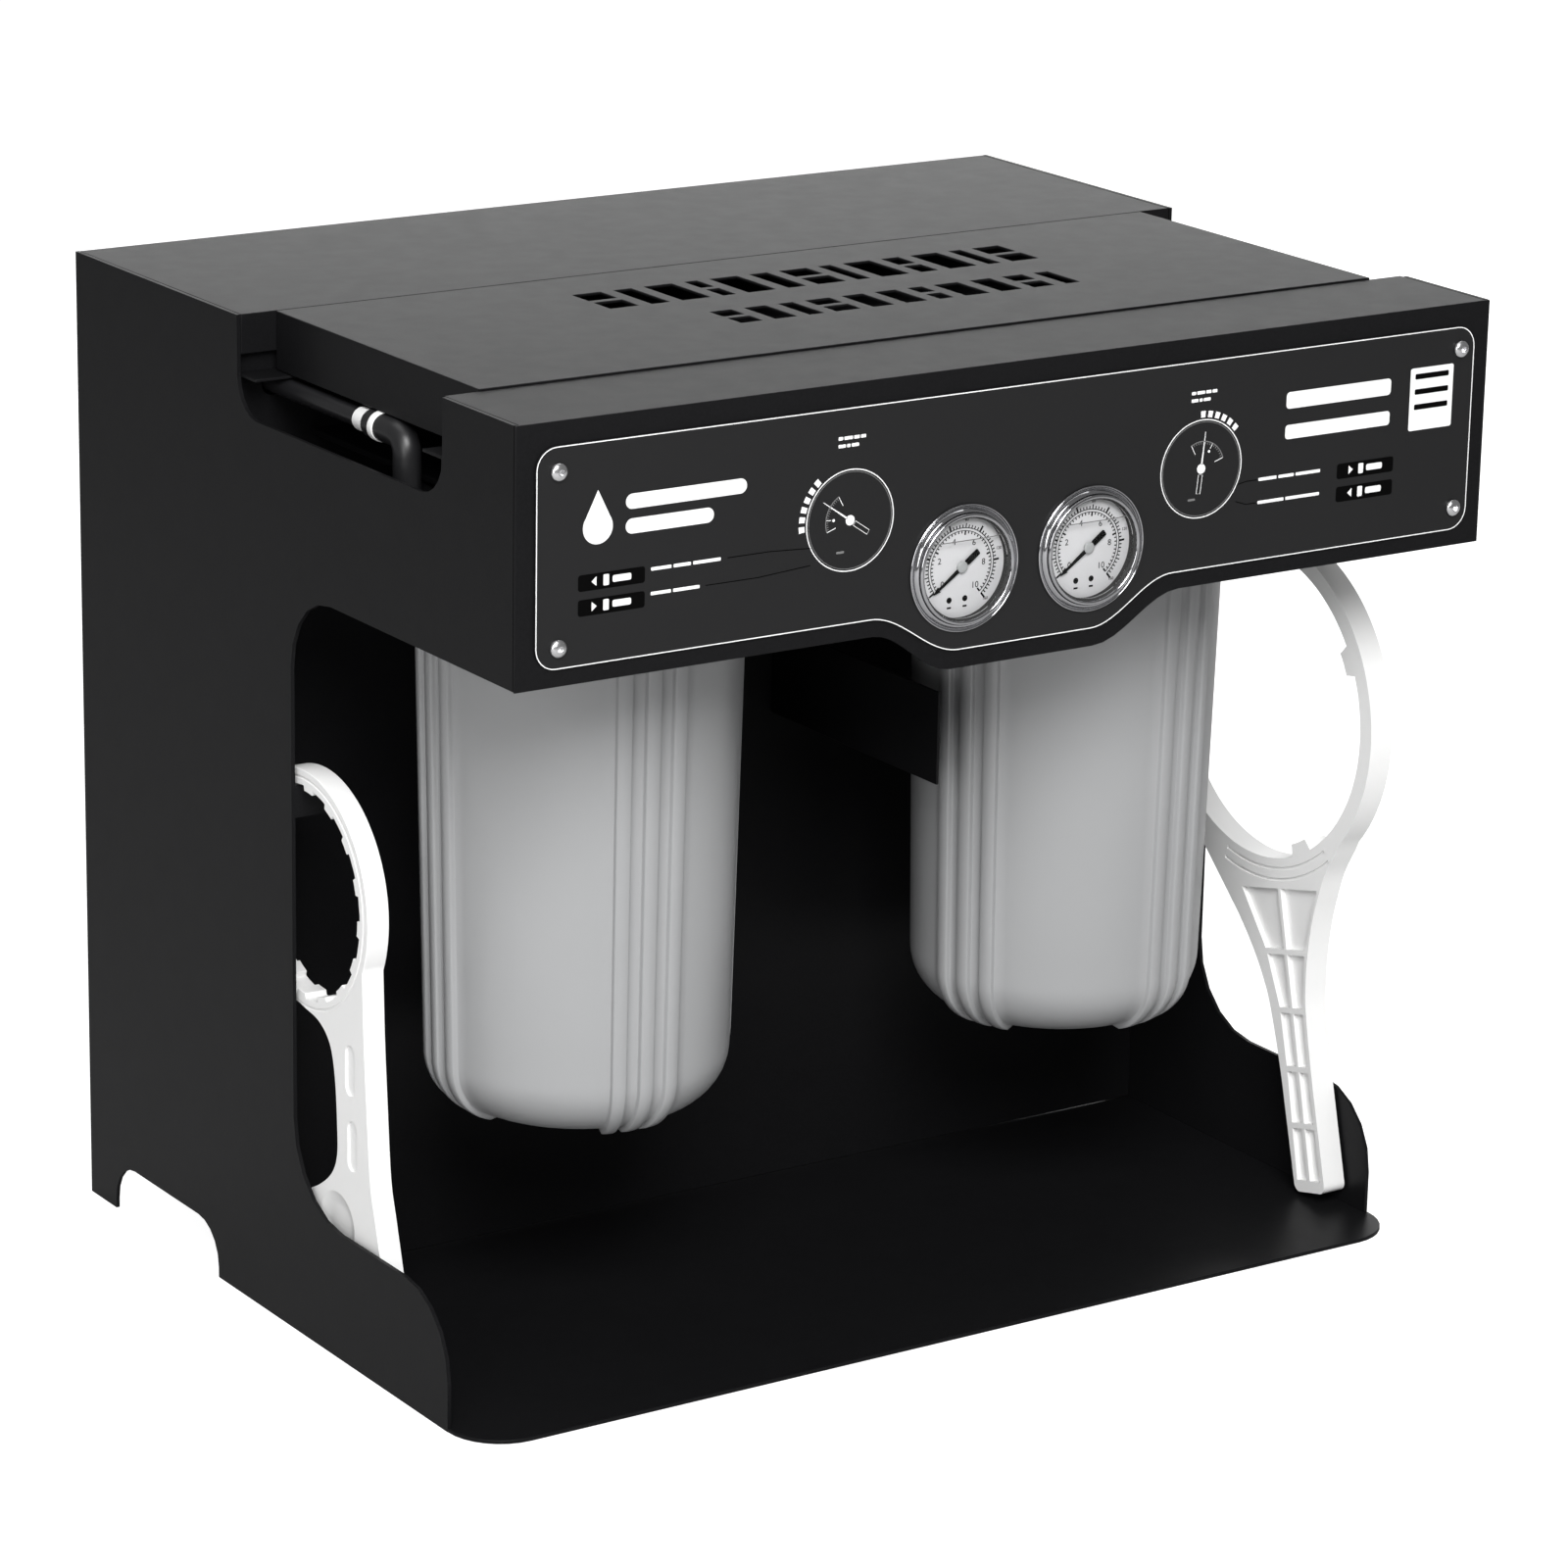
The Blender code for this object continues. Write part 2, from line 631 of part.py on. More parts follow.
RIB_GROUPS = {"left": math.radians(264), "right": math.radians(286.5)}


def sump_columns(side):
    """Angles round the sump with the radius added there; ribs come in threes every 90 degrees."""
    columns = []
    for quarter in range(4):
        middle = RIB_GROUPS[side] + quarter * math.pi / 2
        for rib in (-1, 0, 1):
            centre = middle + rib * RIB_PITCH
            foot = RIB_HALF_ANGLE * RIB_FLARE
            columns += [(centre - foot, 0), (centre - RIB_HALF_ANGLE, 1),
                        (centre + RIB_HALF_ANGLE, 1), (centre + foot, 0)]
        edge = middle + RIB_PITCH + RIB_HALF_ANGLE * RIB_FLARE
        span = math.pi / 2 - 2 * (RIB_PITCH + RIB_HALF_ANGLE * RIB_FLARE)
        columns += [(edge + span * i / 5, 0) for i in range(1, 5)]
    return columns


def sump_wall_radius(z):
    share = (z - SUMP_BOTTOM - SUMP_FILLET) / (SUMP_SHOULDER - SUMP_BOTTOM - SUMP_FILLET)
    return SUMP_LOW_R + (SUMP_TOP_R - SUMP_LOW_R) * share


def sump_rows():
    """Outer profile rows: radius, height and the share of the rib height there."""
    centre_r = SUMP_LOW_R - SUMP_FILLET
    rows = [(centre_r * 0.93, SUMP_BOTTOM, 0)]
    for step, share in enumerate((0.6, 1, 1, 1, 1)):
        a = math.radians(-80 + 20 * step)
        rows.append((centre_r + SUMP_FILLET * math.cos(a),
                     SUMP_BOTTOM + SUMP_FILLET * (1 + math.sin(a)), share))
    for z, share in ((RIB_TOP - 0.012, 1), (RIB_TOP, 0), (SUMP_SHOULDER - 0.003, 0)):
        rows.append((sump_wall_radius(z), z, share))
    rows += [(SUMP_TOP_R - 0.0015, SUMP_SHOULDER, 0), (SUMP_NECK_R, SUMP_SHOULDER, 0),
             (SUMP_NECK_R, SUMP_RIM, 0), (SUMP_BORE_R, SUMP_RIM, 0), (SUMP_BORE_R, 0.142, 0),
             (0.0668, 0.131, 0), (0.0575, SUMP_FLOOR, 0)]
    return rows


def sump_mesh(side):
    """Bowl with ribs that run down the wall and round the bottom corner."""
    bm = bmesh.new()
    columns = sump_columns(side)
    rings = []
    for radius, z, share in sump_rows():
        ring = []
        for angle, rib in columns:
            lean = math.atan2(z - SUMP_BOTTOM - SUMP_FILLET, radius - SUMP_LOW_R + SUMP_FILLET)
            slope = min(0.0, lean)
            out = RIB_HEIGHT * share * rib
            r = radius + out * math.cos(slope)
            ring.append(bm.verts.new((r * math.cos(angle), r * math.sin(angle), z + out * math.sin(slope))))
        rings.append(ring)
    count = len(columns)
    for low, high in zip(rings, rings[1:]):
        for i in range(count):
            j = (i + 1) % count
            bm.faces.new((low[i], low[j], high[j], high[i]))
    bm.faces.new(rings[0])
    bm.faces.new(rings[-1])
    return bm


def housing(side, sign):
    """Head, seal, cartridge and sump; the sump turns and drops with the cartridge in it."""
    at = Vector((sign * HOUSING_X, y_of(HOUSING_D), 0))
    well = BUTTON_R + 0.0006
    head = [(0, HEAD_TOP - 0.006), (well, HEAD_TOP - 0.006), (well, HEAD_TOP), (0.060, HEAD_TOP),
            (0.084, HEAD_TOP - 0.005), (HEAD_R, HEAD_TOP - 0.012), (HEAD_R, SUMP_SHOULDER + 0.001),
            (SUMP_NECK_R + 0.0008, SUMP_SHOULDER + 0.001), (SUMP_NECK_R + 0.0008, SUMP_RIM + 0.0035),
            (0.030, SUMP_RIM + 0.0035), (0.020, CARTRIDGE_TOP + GAP), (0.012, CARTRIDGE_TOP + GAP),
            (0.012, 0.425), (0, 0.425)]
    head_obj = add_object(f"filter_head_{side}", turned(head, 28, "Z", at), black_plastic(), True)
    stubs = [turned([(0, end * 0.082), (0.0205, end * 0.082), (0.0205, end * PORT_REACH),
                     (0, end * PORT_REACH)], 16, "X", at + Vector((0, 0, PORT_Z))) for end in (-1, 1)]
    combine(head_obj, add_object(f"ports_{side}_helper", joined(stubs), black_plastic()), 'UNION')

    ring = [(0.0735 + r, SUMP_RIM + 0.00175 + h) for r, h in circle((0, 0), 0.0014, 5)]
    add_object(f"sump_seal_{side}", turned(ring, 24, "Z", at, True), rubber(), True)

    carriage = bpy.data.objects.new(f"carriage_{side}", None)
    bpy.context.collection.objects.link(carriage)
    carriage.location = at
    core_tube = [(CARTRIDGE_CORE_R, SUMP_FLOOR + GAP), (CARTRIDGE_R, SUMP_FLOOR + GAP),
                 (CARTRIDGE_R, CARTRIDGE_TOP), (CARTRIDGE_CORE_R, CARTRIDGE_TOP)]
    add_object(f"cartridge_{side}", turned(core_tube, 20, "Z", at, True), white_plastic(), True, at, carriage)
    bm = sump_mesh(side)
    bmesh.ops.translate(bm, vec=at, verts=bm.verts)
    add_object(f"filter_sump_{side}", bm, grey_plastic(), True, at, carriage)

    low = HEAD_TOP - 0.0032
    button = [(0, low), (BUTTON_R, low), (BUTTON_R, low + 0.0070), (BUTTON_R - 0.001, low + 0.0080),
              (0, low + 0.0080)]
    origin = at + Vector((0, 0, low))
    add_object(f"relief_button_{side}", turned(button, 12, "Z", at), paint_red(), True, origin)


def housing_bracket():
    """Sheet that carries both heads, with a hole over each relief button."""
    half, front, hole = 0.2415, 0.3640, 0.014
    outline = rectangle(-half, half, BULKHEAD_FACE + GAP, front)
    holes = [circle((sign * HOUSING_X, HOUSING_D), hole, 14) for sign in (-1, 1)]
    add_object("housing_bracket", extrude([outline] + holes, level(HEAD_TOP + GAP), BRACKET_THICK),
               black_coat())


def bay_pipes():
    """Link between the heads, the inlet side with its white coupling, and the outlet side."""
    reach = HOUSING_X - PORT_REACH - GAP
    link = turned([(0, -reach), (0.0165, -reach), (0.0165, -reach + 0.012), (0.0130, -reach + 0.012),
                   (0.0130, reach - 0.012), (0.0165, reach - 0.012), (0.0165, reach), (0, reach)],
                  16, "X", (0, y_of(HOUSING_D), PORT_Z))
    add_object("head_link_pipe", link, black_plastic(), True)
    start = HOUSING_X + PORT_REACH + GAP
    riser = tube([(-start, HOUSING_D, PORT_Z), (HOSE_X, HOUSING_D, PORT_Z), (HOSE_X, 0.300, PORT_Z + 0.016),
                  (HOSE_X, 0.300, HOSE_Z), (HOSE_X, 0.2790, HOSE_Z)], 0.0070, 0.0100)
    add_object("inlet_riser", riser, black_plastic(), True)
    coupling = [(0, 0), (0.0058, 0), (0.0060, 0.017), (0.0075, 0.0175), (0.0075, 0.0222), (0, 0.0222)]
    add_object("inlet_coupling", turned(coupling, 16, "-Y", (HOSE_X, y_of(0.2565), HOSE_Z)),
               white_plastic(), True)
    hose = tube([(HOSE_X, 0.2562, HOSE_Z), (HOSE_X, 0.0165, HOSE_Z)], 0.0050, 0.01)
    add_object("inlet_hose", hose, black_plastic(), True)
    outlet = tube([(start, HOUSING_D, PORT_Z), (0.264, HOUSING_D, PORT_Z), (0.264, BULKHEAD_FACE + GAP, PORT_Z)],
                  0.0090, 0.0140)
    add_object("outlet_pipe", outlet, black_plastic(), True)


# ---------------------------------------------------------------- wrenches

def small_wrench():
    """Toothed ring with an offset handle that flares into a broad lower jaw."""
    outline = arc(SMALL_C, SMALL_OUT, math.radians(-24), math.radians(238), 30)
    outline += [(0.2120, 0.1755), (0.2290, 0.1725), (0.2450, 0.1695), (0.2560, 0.1610), (0.2610, 0.1450),
                (0.2632, 0.1200), (0.2628, 0.1040), (0.2570, 0.0930), (0.2450, 0.0835), (0.2300, 0.0755)]
    outline += arc((0.2340, 0.0560), 0.0170, math.radians(112), math.radians(205), 4)
    outline += [(0.2240, 0.0230)]
    outline += arc((0.2400, 0.0200), 0.0140, math.radians(180), math.radians(270), 3)
    outline += arc((0.3000, 0.0230), 0.0170, math.radians(-90), math.radians(15), 5)
    outline += [(0.3110, 0.0480), (0.3020, 0.0800), (0.2965, 0.1010), (0.2930, 0.1400), (0.2905, 0.1720)]
    teeth, tall = 16, 0.0025
    bore = []
    for i in range(teeth):
        middle = math.radians(97 + 360 / teeth / 2) + 2 * math.pi * i / teeth
        for turn, radius in ((-0.085, SMALL_IN), (-0.075, SMALL_IN - tall),
                             (0.075, SMALL_IN - tall), (0.085, SMALL_IN)):
            bore.append((SMALL_C[0] + radius * math.cos(middle + turn),
                         SMALL_C[1] + radius * math.sin(middle + turn)))
    slots = []
    for middle, low, high in ((0.2765, 0.1400, 0.1660), (0.2785, 0.1010, 0.1270)):
        slots.append(arc((middle, high - 0.0040), 0.0040, 0, math.pi, 4)
                     + arc((middle, low + 0.0040), 0.0040, math.pi, 2 * math.pi, 4))
    origin = (SMALL_X, y_of(BAY_REAR - TAB_THICK / 2), PIVOT_Z["left"])
    wrench = add_object("wrench_small", extrude([outline, bore], across(SMALL_X), SMALL_THICK),
                        white_plastic(), False, origin)
    dish = turned([(0, 0), (0.011, 0), (0.017, -0.0024), (0.017, -0.004), (0, -0.004)], 16, "X",
                  (SMALL_X + 0.0024, y_of(0.2630), 0.0680))
    combine(wrench, add_object("dish_helper", dish, white_plastic()), 'DIFFERENCE')
    for i, slot in enumerate(slots):
        pocket = extrude([slot], across(SMALL_X - 0.002), 0.0040)
        combine(wrench, add_object(f"slot_{i}_helper", pocket, white_plastic()), 'DIFFERENCE')


def large_wrench():
    """Lugged ring on a tapered handle with ribbed pockets in both faces."""
    cos, sin = math.cos(LARGE_TILT), math.sin(LARGE_TILT)

    def place_at(x):
        """Wrench coordinates (across, along the handle) into the unit."""
        return lambda a, b, t: (x + t, y_of(LARGE_C[0] + a * cos + b * sin), LARGE_C[1] + a * sin - b * cos)

    rear_edge = ((0.0740, 0.0665), (0.0840, 0.0595), (0.1050, 0.0455), (0.1180, 0.0370), (0.1350, 0.0280),
                 (0.1520, 0.0215), (0.1670, 0.0182), (0.2000, 0.0150), (0.2300, 0.0140))
    front_edge = ((0.0800, 0.0520), (0.0920, 0.0410), (0.1050, 0.0330), (0.1180, 0.0262), (0.1350, 0.0195),
                  (0.1520, 0.0150), (0.1670, 0.0126), (0.2000, 0.0118), (0.2300, 0.0124))
    end = LARGE_LENGTH
    outline = arc((0, 0), LARGE_OUT, math.radians(54), math.radians(-226), 38)
    outline += [(-half, along) for along, half in rear_edge]
    outline += [(-0.0130, end - 0.005), (-0.0100, end), (0.0100, end), (0.0130, end - 0.005)]
    outline += [(half, along) for along, half in reversed(front_edge)]
    lug_half, lug_tall, lugs, first_lug = 0.098, 0.0066, 4, math.radians(74.5)
    bore = []
    for i in range(lugs):
        middle = first_lug + 2 * math.pi * i / lugs
        for turn, radius in ((-lug_half, LARGE_IN), (-lug_half * 0.8, LARGE_IN - lug_tall),
                             (lug_half * 0.8, LARGE_IN - lug_tall), (lug_half, LARGE_IN)):
            bore.append((radius * math.cos(middle + turn), radius * math.sin(middle + turn)))
        for k in range(1, 8):
            a = middle + lug_half + (2 * math.pi / lugs - 2 * lug_half) * k / 8
            bore.append((LARGE_IN * math.cos(a), LARGE_IN * math.sin(a)))
    origin = (LARGE_X, y_of(BAY_REAR - TAB_THICK / 2), PIVOT_Z["right"])
    wrench = add_object("wrench_large", extrude([outline, bore], place_at(LARGE_X), LARGE_THICK),
                        white_plastic(), False, origin)
    rib, edge, deep = 0.0012, 0.0028, 0.0028
    cells = ((0.1010, 0.0355, 0.1340, 0.0198), (0.1370, 0.0190, 0.1660, 0.0127),
             (0.1690, 0.0126, 0.1980, 0.0118), (0.2010, 0.0118, 0.2290, 0.0122),
             (0.2320, 0.0124, 0.2605, 0.0128))
    pockets = []
    for near, near_half, far, far_half in cells:
        for sign in (-1, 1):
            loop = [(sign * rib, near), (sign * (near_half - edge), near),
                    (sign * (far_half - edge), far), (sign * rib, far)]
            for x in (LARGE_X - 0.002, LARGE_X + LARGE_THICK - deep):
                pockets.append(extrude([loop], place_at(x), deep + 0.002))
    combine(wrench, add_object("pockets_helper", joined(pockets), white_plastic()), 'DIFFERENCE')


# ---------------------------------------------------------------- rear block contents

def membrane_vessels():
    """Three upright vessels in a rack plate, with their two header pipes."""
    foot = REAR_FLOOR_Z + SHEET + 2 * GAP
    cap, body = VESSEL_CAP_R, VESSEL_R
    profile = [(0, foot), (cap, foot), (cap, 0.070), (body, 0.0705), (body, 0.3895),
               (cap, 0.390), (cap, 0.430), (0.010, 0.431), (0.010, 0.442), (0, 0.442)]
    for i, x in enumerate(VESSEL_X, 1):
        add_object(f"membrane_vessel_{i}", turned(profile, 16, "Z", (x, y_of(VESSEL_D), 0)),
                   white_plastic(), True)
    outline = rectangle(-HALF_IN, 0.045, 0.028, BULKHEAD_FACE - SHEET - GAP)
    holes = [circle((x, VESSEL_D), VESSEL_R + 0.0011, 16) for x in VESSEL_X]
    add_object("vessel_rack", extrude([outline] + holes, level(RACK_Z), SIDE_SHEET), black_coat())
    permeate_z = PORTS["permeate_port"][1]
    permeate = tube([(VESSEL_X[0] - 0.006, VESSEL_D, permeate_z), (0.060, VESSEL_D, permeate_z),
                     (0.060, 0.0165, permeate_z)], PIPE_R, 2 * PIPE_R)
    add_object("permeate_manifold", permeate, white_plastic(), True)
    pipe_d = VESSEL_D + VESSEL_CAP_R + GAP + PIPE_R
    feed = tube([(FEED_X, pipe_d, MOTOR_Z), (FEED_X, pipe_d, 0.410), (VESSEL_X[0], pipe_d, 0.410)],
                PIPE_R, 2 * PIPE_R)
    add_object("feed_manifold", feed, black_plastic(), True)


def pump_set():
    """Footed motor with a pump head at one end and a cooling fan at the other."""
    at = (0, y_of(MOTOR_D), MOTOR_Z)
    motor = [(0, 0.110), (0.048, 0.110), (MOTOR_R, 0.118), (MOTOR_R, 0.2350), (0.004, 0.2350),
             (0.004, 0.2440), (0, 0.2440)]
    motor_obj = add_object("pump_motor", turned(motor, 18, "X", at), black_plastic(), True)
    foot = box(0.130, 0.215, 0.056, 0.116, REAR_FLOOR_Z + SHEET + GAP, MOTOR_Z - 0.045)
    combine(motor_obj, add_object("motor_foot_helper", foot, black_plastic()), 'UNION')
    head = [(0, 0.058), (0.026, 0.058), (0.030, 0.062), (0.030, 0.100), (0.038, 0.1005),
            (0.038, 0.1097), (0, 0.1097)]
    add_object("pump_head", turned(head, 16, "X", at), steel(), True)
    cover = [(0.0535, 0.2353), (0.0535, 0.2750), (0.022, 0.2750), (0.022, 0.2738), (0.0520, 0.2738),
             (0.0520, 0.2353)]
    add_object("fan_cover", turned(cover, 18, "X", at, True), black_coat(), True)
    blades, hub, tip = 6, 0.012, 0.045
    outline = []
    for i in range(blades):
        a = 2 * math.pi * i / blades
        for turn, radius in ((-0.20, hub), (-0.045, tip), (0.045, tip), (0.20, hub)):
            outline.append((radius * math.cos(a + turn), radius * math.sin(a + turn)))
    place = lambda a, b, t: (0.2443 + t, y_of(MOTOR_D) + a, MOTOR_Z + b)
    add_object("motor_fan", extrude([outline], place, 0.014), white_plastic(), False,
               (0.2443, y_of(MOTOR_D), MOTOR_Z))


def controls():
    """Control box, solenoid valve and the pressure switch."""
    wall = BULKHEAD_FACE - SHEET - GAP
    add_object("control_box", box(0.150, 0.272, 0.098, wall, 0.290, 0.430), grey_plastic())
    valve = turned([(0, 0.040), (0.012, 0.040), (0.012, 0.058), (0.019, 0.0585), (0.019, 0.094), (0, 0.094)],
                   16, "Y", (0.120, y_of(wall) - 0.040, 0.330))
    add_object("solenoid_valve", valve, black_plastic(), True)
    switch = turned([(0, 0.0075), (0.009, 0.0075), (0.009, 0.018), (0.015, 0.0185), (0.015, 0.050),
                     (0.011, 0.054), (0, 0.054)], 14, "X",
                    (FEED_X, y_of(VESSEL_D + VESSEL_CAP_R + GAP + PIPE_R), 0.240))
    add_object("pressure_switch", switch, black_plastic(), True)


def main():
    clear_scene()
    for side, sign, gauge_x in (("left", -1, GAUGE_X[0]), ("right", 1, GAUGE_X[1])):
        side_plate(side, sign)
        gauge(side, gauge_x)
        housing(side, sign)
    base_plate()
    bulkhead_panel()
    rear_floor_panel()
    rear_top_panel()
    back_panel()
    back_ports()
    power_inlet()
    cover_ledges()
    top_cover()
    header_panel()
    fascia_plate()
    stay_bracket()
    housing_bracket()
    bay_pipes()
    small_wrench()
    large_wrench()
    membrane_vessels()
    pump_set()
    controls()


main()
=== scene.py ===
"""Looks of the reverse osmosis unit: powder-coated cabinet, satin grey sumps, liquid-filled
gauges, printed fascia and moulded wrenches, with the camera, the lights and the floor.

Metres, +Z up, front towards -Y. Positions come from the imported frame's own boxes.
"""
import json
import math

import bmesh
import bpy
from mathutils import Matrix, Vector

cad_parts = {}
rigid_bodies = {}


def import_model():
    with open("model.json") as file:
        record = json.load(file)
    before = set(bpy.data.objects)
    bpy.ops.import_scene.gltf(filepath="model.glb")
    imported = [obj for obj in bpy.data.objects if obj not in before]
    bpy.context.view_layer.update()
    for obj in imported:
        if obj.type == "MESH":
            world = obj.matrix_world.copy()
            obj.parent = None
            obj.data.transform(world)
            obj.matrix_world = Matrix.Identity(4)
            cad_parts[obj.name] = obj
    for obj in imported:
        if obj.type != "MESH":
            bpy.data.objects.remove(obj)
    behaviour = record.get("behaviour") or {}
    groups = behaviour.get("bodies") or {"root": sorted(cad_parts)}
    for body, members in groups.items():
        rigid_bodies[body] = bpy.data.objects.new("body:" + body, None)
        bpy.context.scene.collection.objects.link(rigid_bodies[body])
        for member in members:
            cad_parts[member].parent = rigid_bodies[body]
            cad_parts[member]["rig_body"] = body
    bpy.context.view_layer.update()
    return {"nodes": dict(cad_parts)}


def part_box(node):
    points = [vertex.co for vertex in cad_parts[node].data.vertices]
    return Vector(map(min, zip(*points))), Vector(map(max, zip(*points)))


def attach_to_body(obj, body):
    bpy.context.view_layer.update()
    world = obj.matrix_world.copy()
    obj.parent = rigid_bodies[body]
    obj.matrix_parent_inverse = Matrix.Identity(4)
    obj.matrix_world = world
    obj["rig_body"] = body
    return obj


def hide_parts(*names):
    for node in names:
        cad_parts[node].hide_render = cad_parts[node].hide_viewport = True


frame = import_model()
SIDES = ("left", "right")


# ---------------------------------------------------------------- materials

def node(tree, kind, **values):
    made = tree.nodes.new(kind)
    for name, value in values.items():
        setattr(made, name, value)
    return made


def noise(tree, size, detail=2.0, stretch=(1, 1, 1)):
    """Noise over the object's own coordinates; size is the grain in metres."""
    coords = node(tree, "ShaderNodeTexCoord")
    mapping = node(tree, "ShaderNodeMapping")
    mapping.inputs["Scale"].default_value = stretch
    tree.links.new(coords.outputs["Object"], mapping.inputs["Vector"])
    made = node(tree, "ShaderNodeTexNoise")
    made.inputs["Scale"].default_value = 1.0 / size
    made.inputs["Detail"].default_value = detail
    tree.links.new(mapping.outputs["Vector"], made.inputs["Vector"])
    return made.outputs["Fac"]


def spread(tree, source, low, high):
    """Maps the middle of a noise to a range."""
    made = node(tree, "ShaderNodeMapRange")
    for name, value in (("From Min", 0.3), ("From Max", 0.7), ("To Min", low), ("To Max", high)):
        made.inputs[name].default_value = value
    tree.links.new(source, made.inputs["Value"])
    return made.outputs["Result"]


def finish(name, colour, roughness, metallic=0.0, mottle=0.06, cloud=0.09, rough_range=0.05,
           grain=0.0006, depth=0.00002, stretch=(1, 1, 1), specular=0.5, speck=0.0, coat=0.0):
    """A painted, moulded or plated surface: clouded colour, uneven gloss and a fine grain."""
    mat = bpy.data.materials.new(name)
    mat.use_nodes = True
    tree = mat.node_tree
    shader = tree.nodes["Principled BSDF"]
    shader.inputs["Metallic"].default_value = metallic
    shader.inputs["Specular IOR Level"].default_value = specular
    shader.inputs["Coat Weight"].default_value = coat
    shader.inputs["Coat Roughness"].default_value = 0.12

    mix = node(tree, "ShaderNodeMix", data_type='RGBA')
    mix.inputs["A"].default_value = (*[c * (1 - mottle) for c in colour], 1)
    mix.inputs["B"].default_value = (*[min(1.0, c * (1 + mottle)) for c in colour], 1)
    tree.links.new(spread(tree, noise(tree, cloud), 0, 1), mix.inputs["Factor"])
    shade = mix.outputs["Result"]
    if speck:
        dots = node(tree, "ShaderNodeMix", data_type='RGBA')
        dots.inputs["B"].default_value = (*[min(1.0, c * (1 + speck)) for c in colour], 1)
        tree.links.new(spread(tree, noise(tree, grain * 1.7, 4.0), 0, 1), dots.inputs["Factor"])
        tree.links.new(shade, dots.inputs["A"])
        shade = dots.outputs["Result"]
    tree.links.new(shade, shader.inputs["Base Color"])

    gloss = spread(tree, noise(tree, cloud * 0.4, 4.0),
                   roughness - rough_range, roughness + rough_range)
    tree.links.new(gloss, shader.inputs["Roughness"])
    bump = node(tree, "ShaderNodeBump")
    bump.inputs["Strength"].default_value = 1.0
    bump.inputs["Distance"].default_value = depth
    tree.links.new(noise(tree, grain, 3.0, stretch), bump.inputs["Height"])
    tree.links.new(bump.outputs["Normal"], shader.inputs["Normal"])
    return mat


def glass():
    """Thin clear lens: it mirrors by Fresnel and is clear everywhere else."""
    mat = bpy.data.materials.new("gauge_glass")
    mat.use_nodes = True
    tree = mat.node_tree
    shader = tree.nodes["Principled BSDF"]
    shader.inputs["Base Color"].default_value = (0.95, 0.96, 0.96, 1)
    shader.inputs["Metallic"].default_value = 1.0
    shader.inputs["Roughness"].default_value = 0.03
    fresnel = node(tree, "ShaderNodeFresnel")
    fresnel.inputs["IOR"].default_value = 1.18
    smear = spread(tree, noise(tree, 0.012), 0.9, 1.1)
    times = node(tree, "ShaderNodeMath", operation='MULTIPLY')
    tree.links.new(fresnel.outputs["Fac"], times.inputs[0])
    tree.links.new(smear, times.inputs[1])
    tree.links.new(times.outputs["Value"], shader.inputs["Alpha"])
    return mat


COAT = finish("black_powder_coat", (0.0055, 0.0055, 0.0060), 0.40, mottle=0.08, cloud=0.03,
              rough_range=0.012, speck=0.35, grain=0.0007, depth=0.000035, specular=0.10)
FASCIA = finish("fascia_film", (0.010, 0.010, 0.0105), 0.45, mottle=0.03, rough_range=0.01,
                grain=0.0004, depth=0.00001, specular=0.26)
PRINT_WHITE = finish("white_print", (0.88, 0.88, 0.88), 0.45, mottle=0.02, depth=0.000005)
PRINT_BLACK = finish("black_print", (0.0008, 0.0008, 0.0008), 0.5, mottle=0.1, depth=0.000005,
                     specular=0.05)
PRINT_GREY = finish("grey_print", (0.16, 0.16, 0.16), 0.5, mottle=0.04, depth=0.000005)
DIAL = finish("dial_enamel", (0.57, 0.57, 0.58), 0.5, mottle=0.015, depth=0.000005)
CHROME = finish("bezel_chrome", (0.46, 0.46, 0.475), 0.085, 1.0, mottle=0.03, rough_range=0.01,
                grain=0.004, depth=0.000001)
STEEL = finish("screw_steel", (0.66, 0.66, 0.67), 0.24, 1.0, mottle=0.08, rough_range=0.08,
               grain=0.0005)
CAST = finish("pump_steel", (0.50, 0.50, 0.51), 0.38, 1.0, mottle=0.1, grain=0.0012,
              depth=0.00006)
SUMP = finish("grey_sump_plastic", (0.325, 0.328, 0.333), 0.32, mottle=0.025, cloud=0.12,
              rough_range=0.03, grain=0.0011, depth=0.000015, specular=0.45)
WHITE = finish("white_moulding", (0.84, 0.84, 0.835), 0.45, mottle=0.02, grain=0.0012,
               depth=0.00003)
BLACK = finish("black_moulding", (0.012, 0.012, 0.013), 0.36, mottle=0.1, grain=0.0009, depth=0.00004)
HOSE = finish("black_hose", (0.010, 0.010, 0.011), 0.30, mottle=0.1, grain=0.0015, depth=0.00003)
GREYBOX = finish("grey_box_plastic", (0.33, 0.34, 0.34), 0.45, mottle=0.03, grain=0.0008,
                 depth=0.00004)
RED = finish("red_button_plastic", (0.52, 0.015, 0.015), 0.28, mottle=0.05, grain=0.001,
             coat=0.3)
RUBBER = finish("seal_rubber", (0.015, 0.015, 0.015), 0.75, mottle=0.1, grain=0.0007)
FELT = finish("wound_cartridge", (0.80, 0.79, 0.76), 0.85, mottle=0.05, grain=0.0009, depth=0.0003,
              stretch=(1, 1, 0.4))
GLASS = glass()


# ---------------------------------------------------------------- geometry helpers

def smooth_by_angle(mesh, degrees=32):
    mesh.shade_smooth()
    mesh.set_sharp_from_angle(angle=math.radians(degrees))


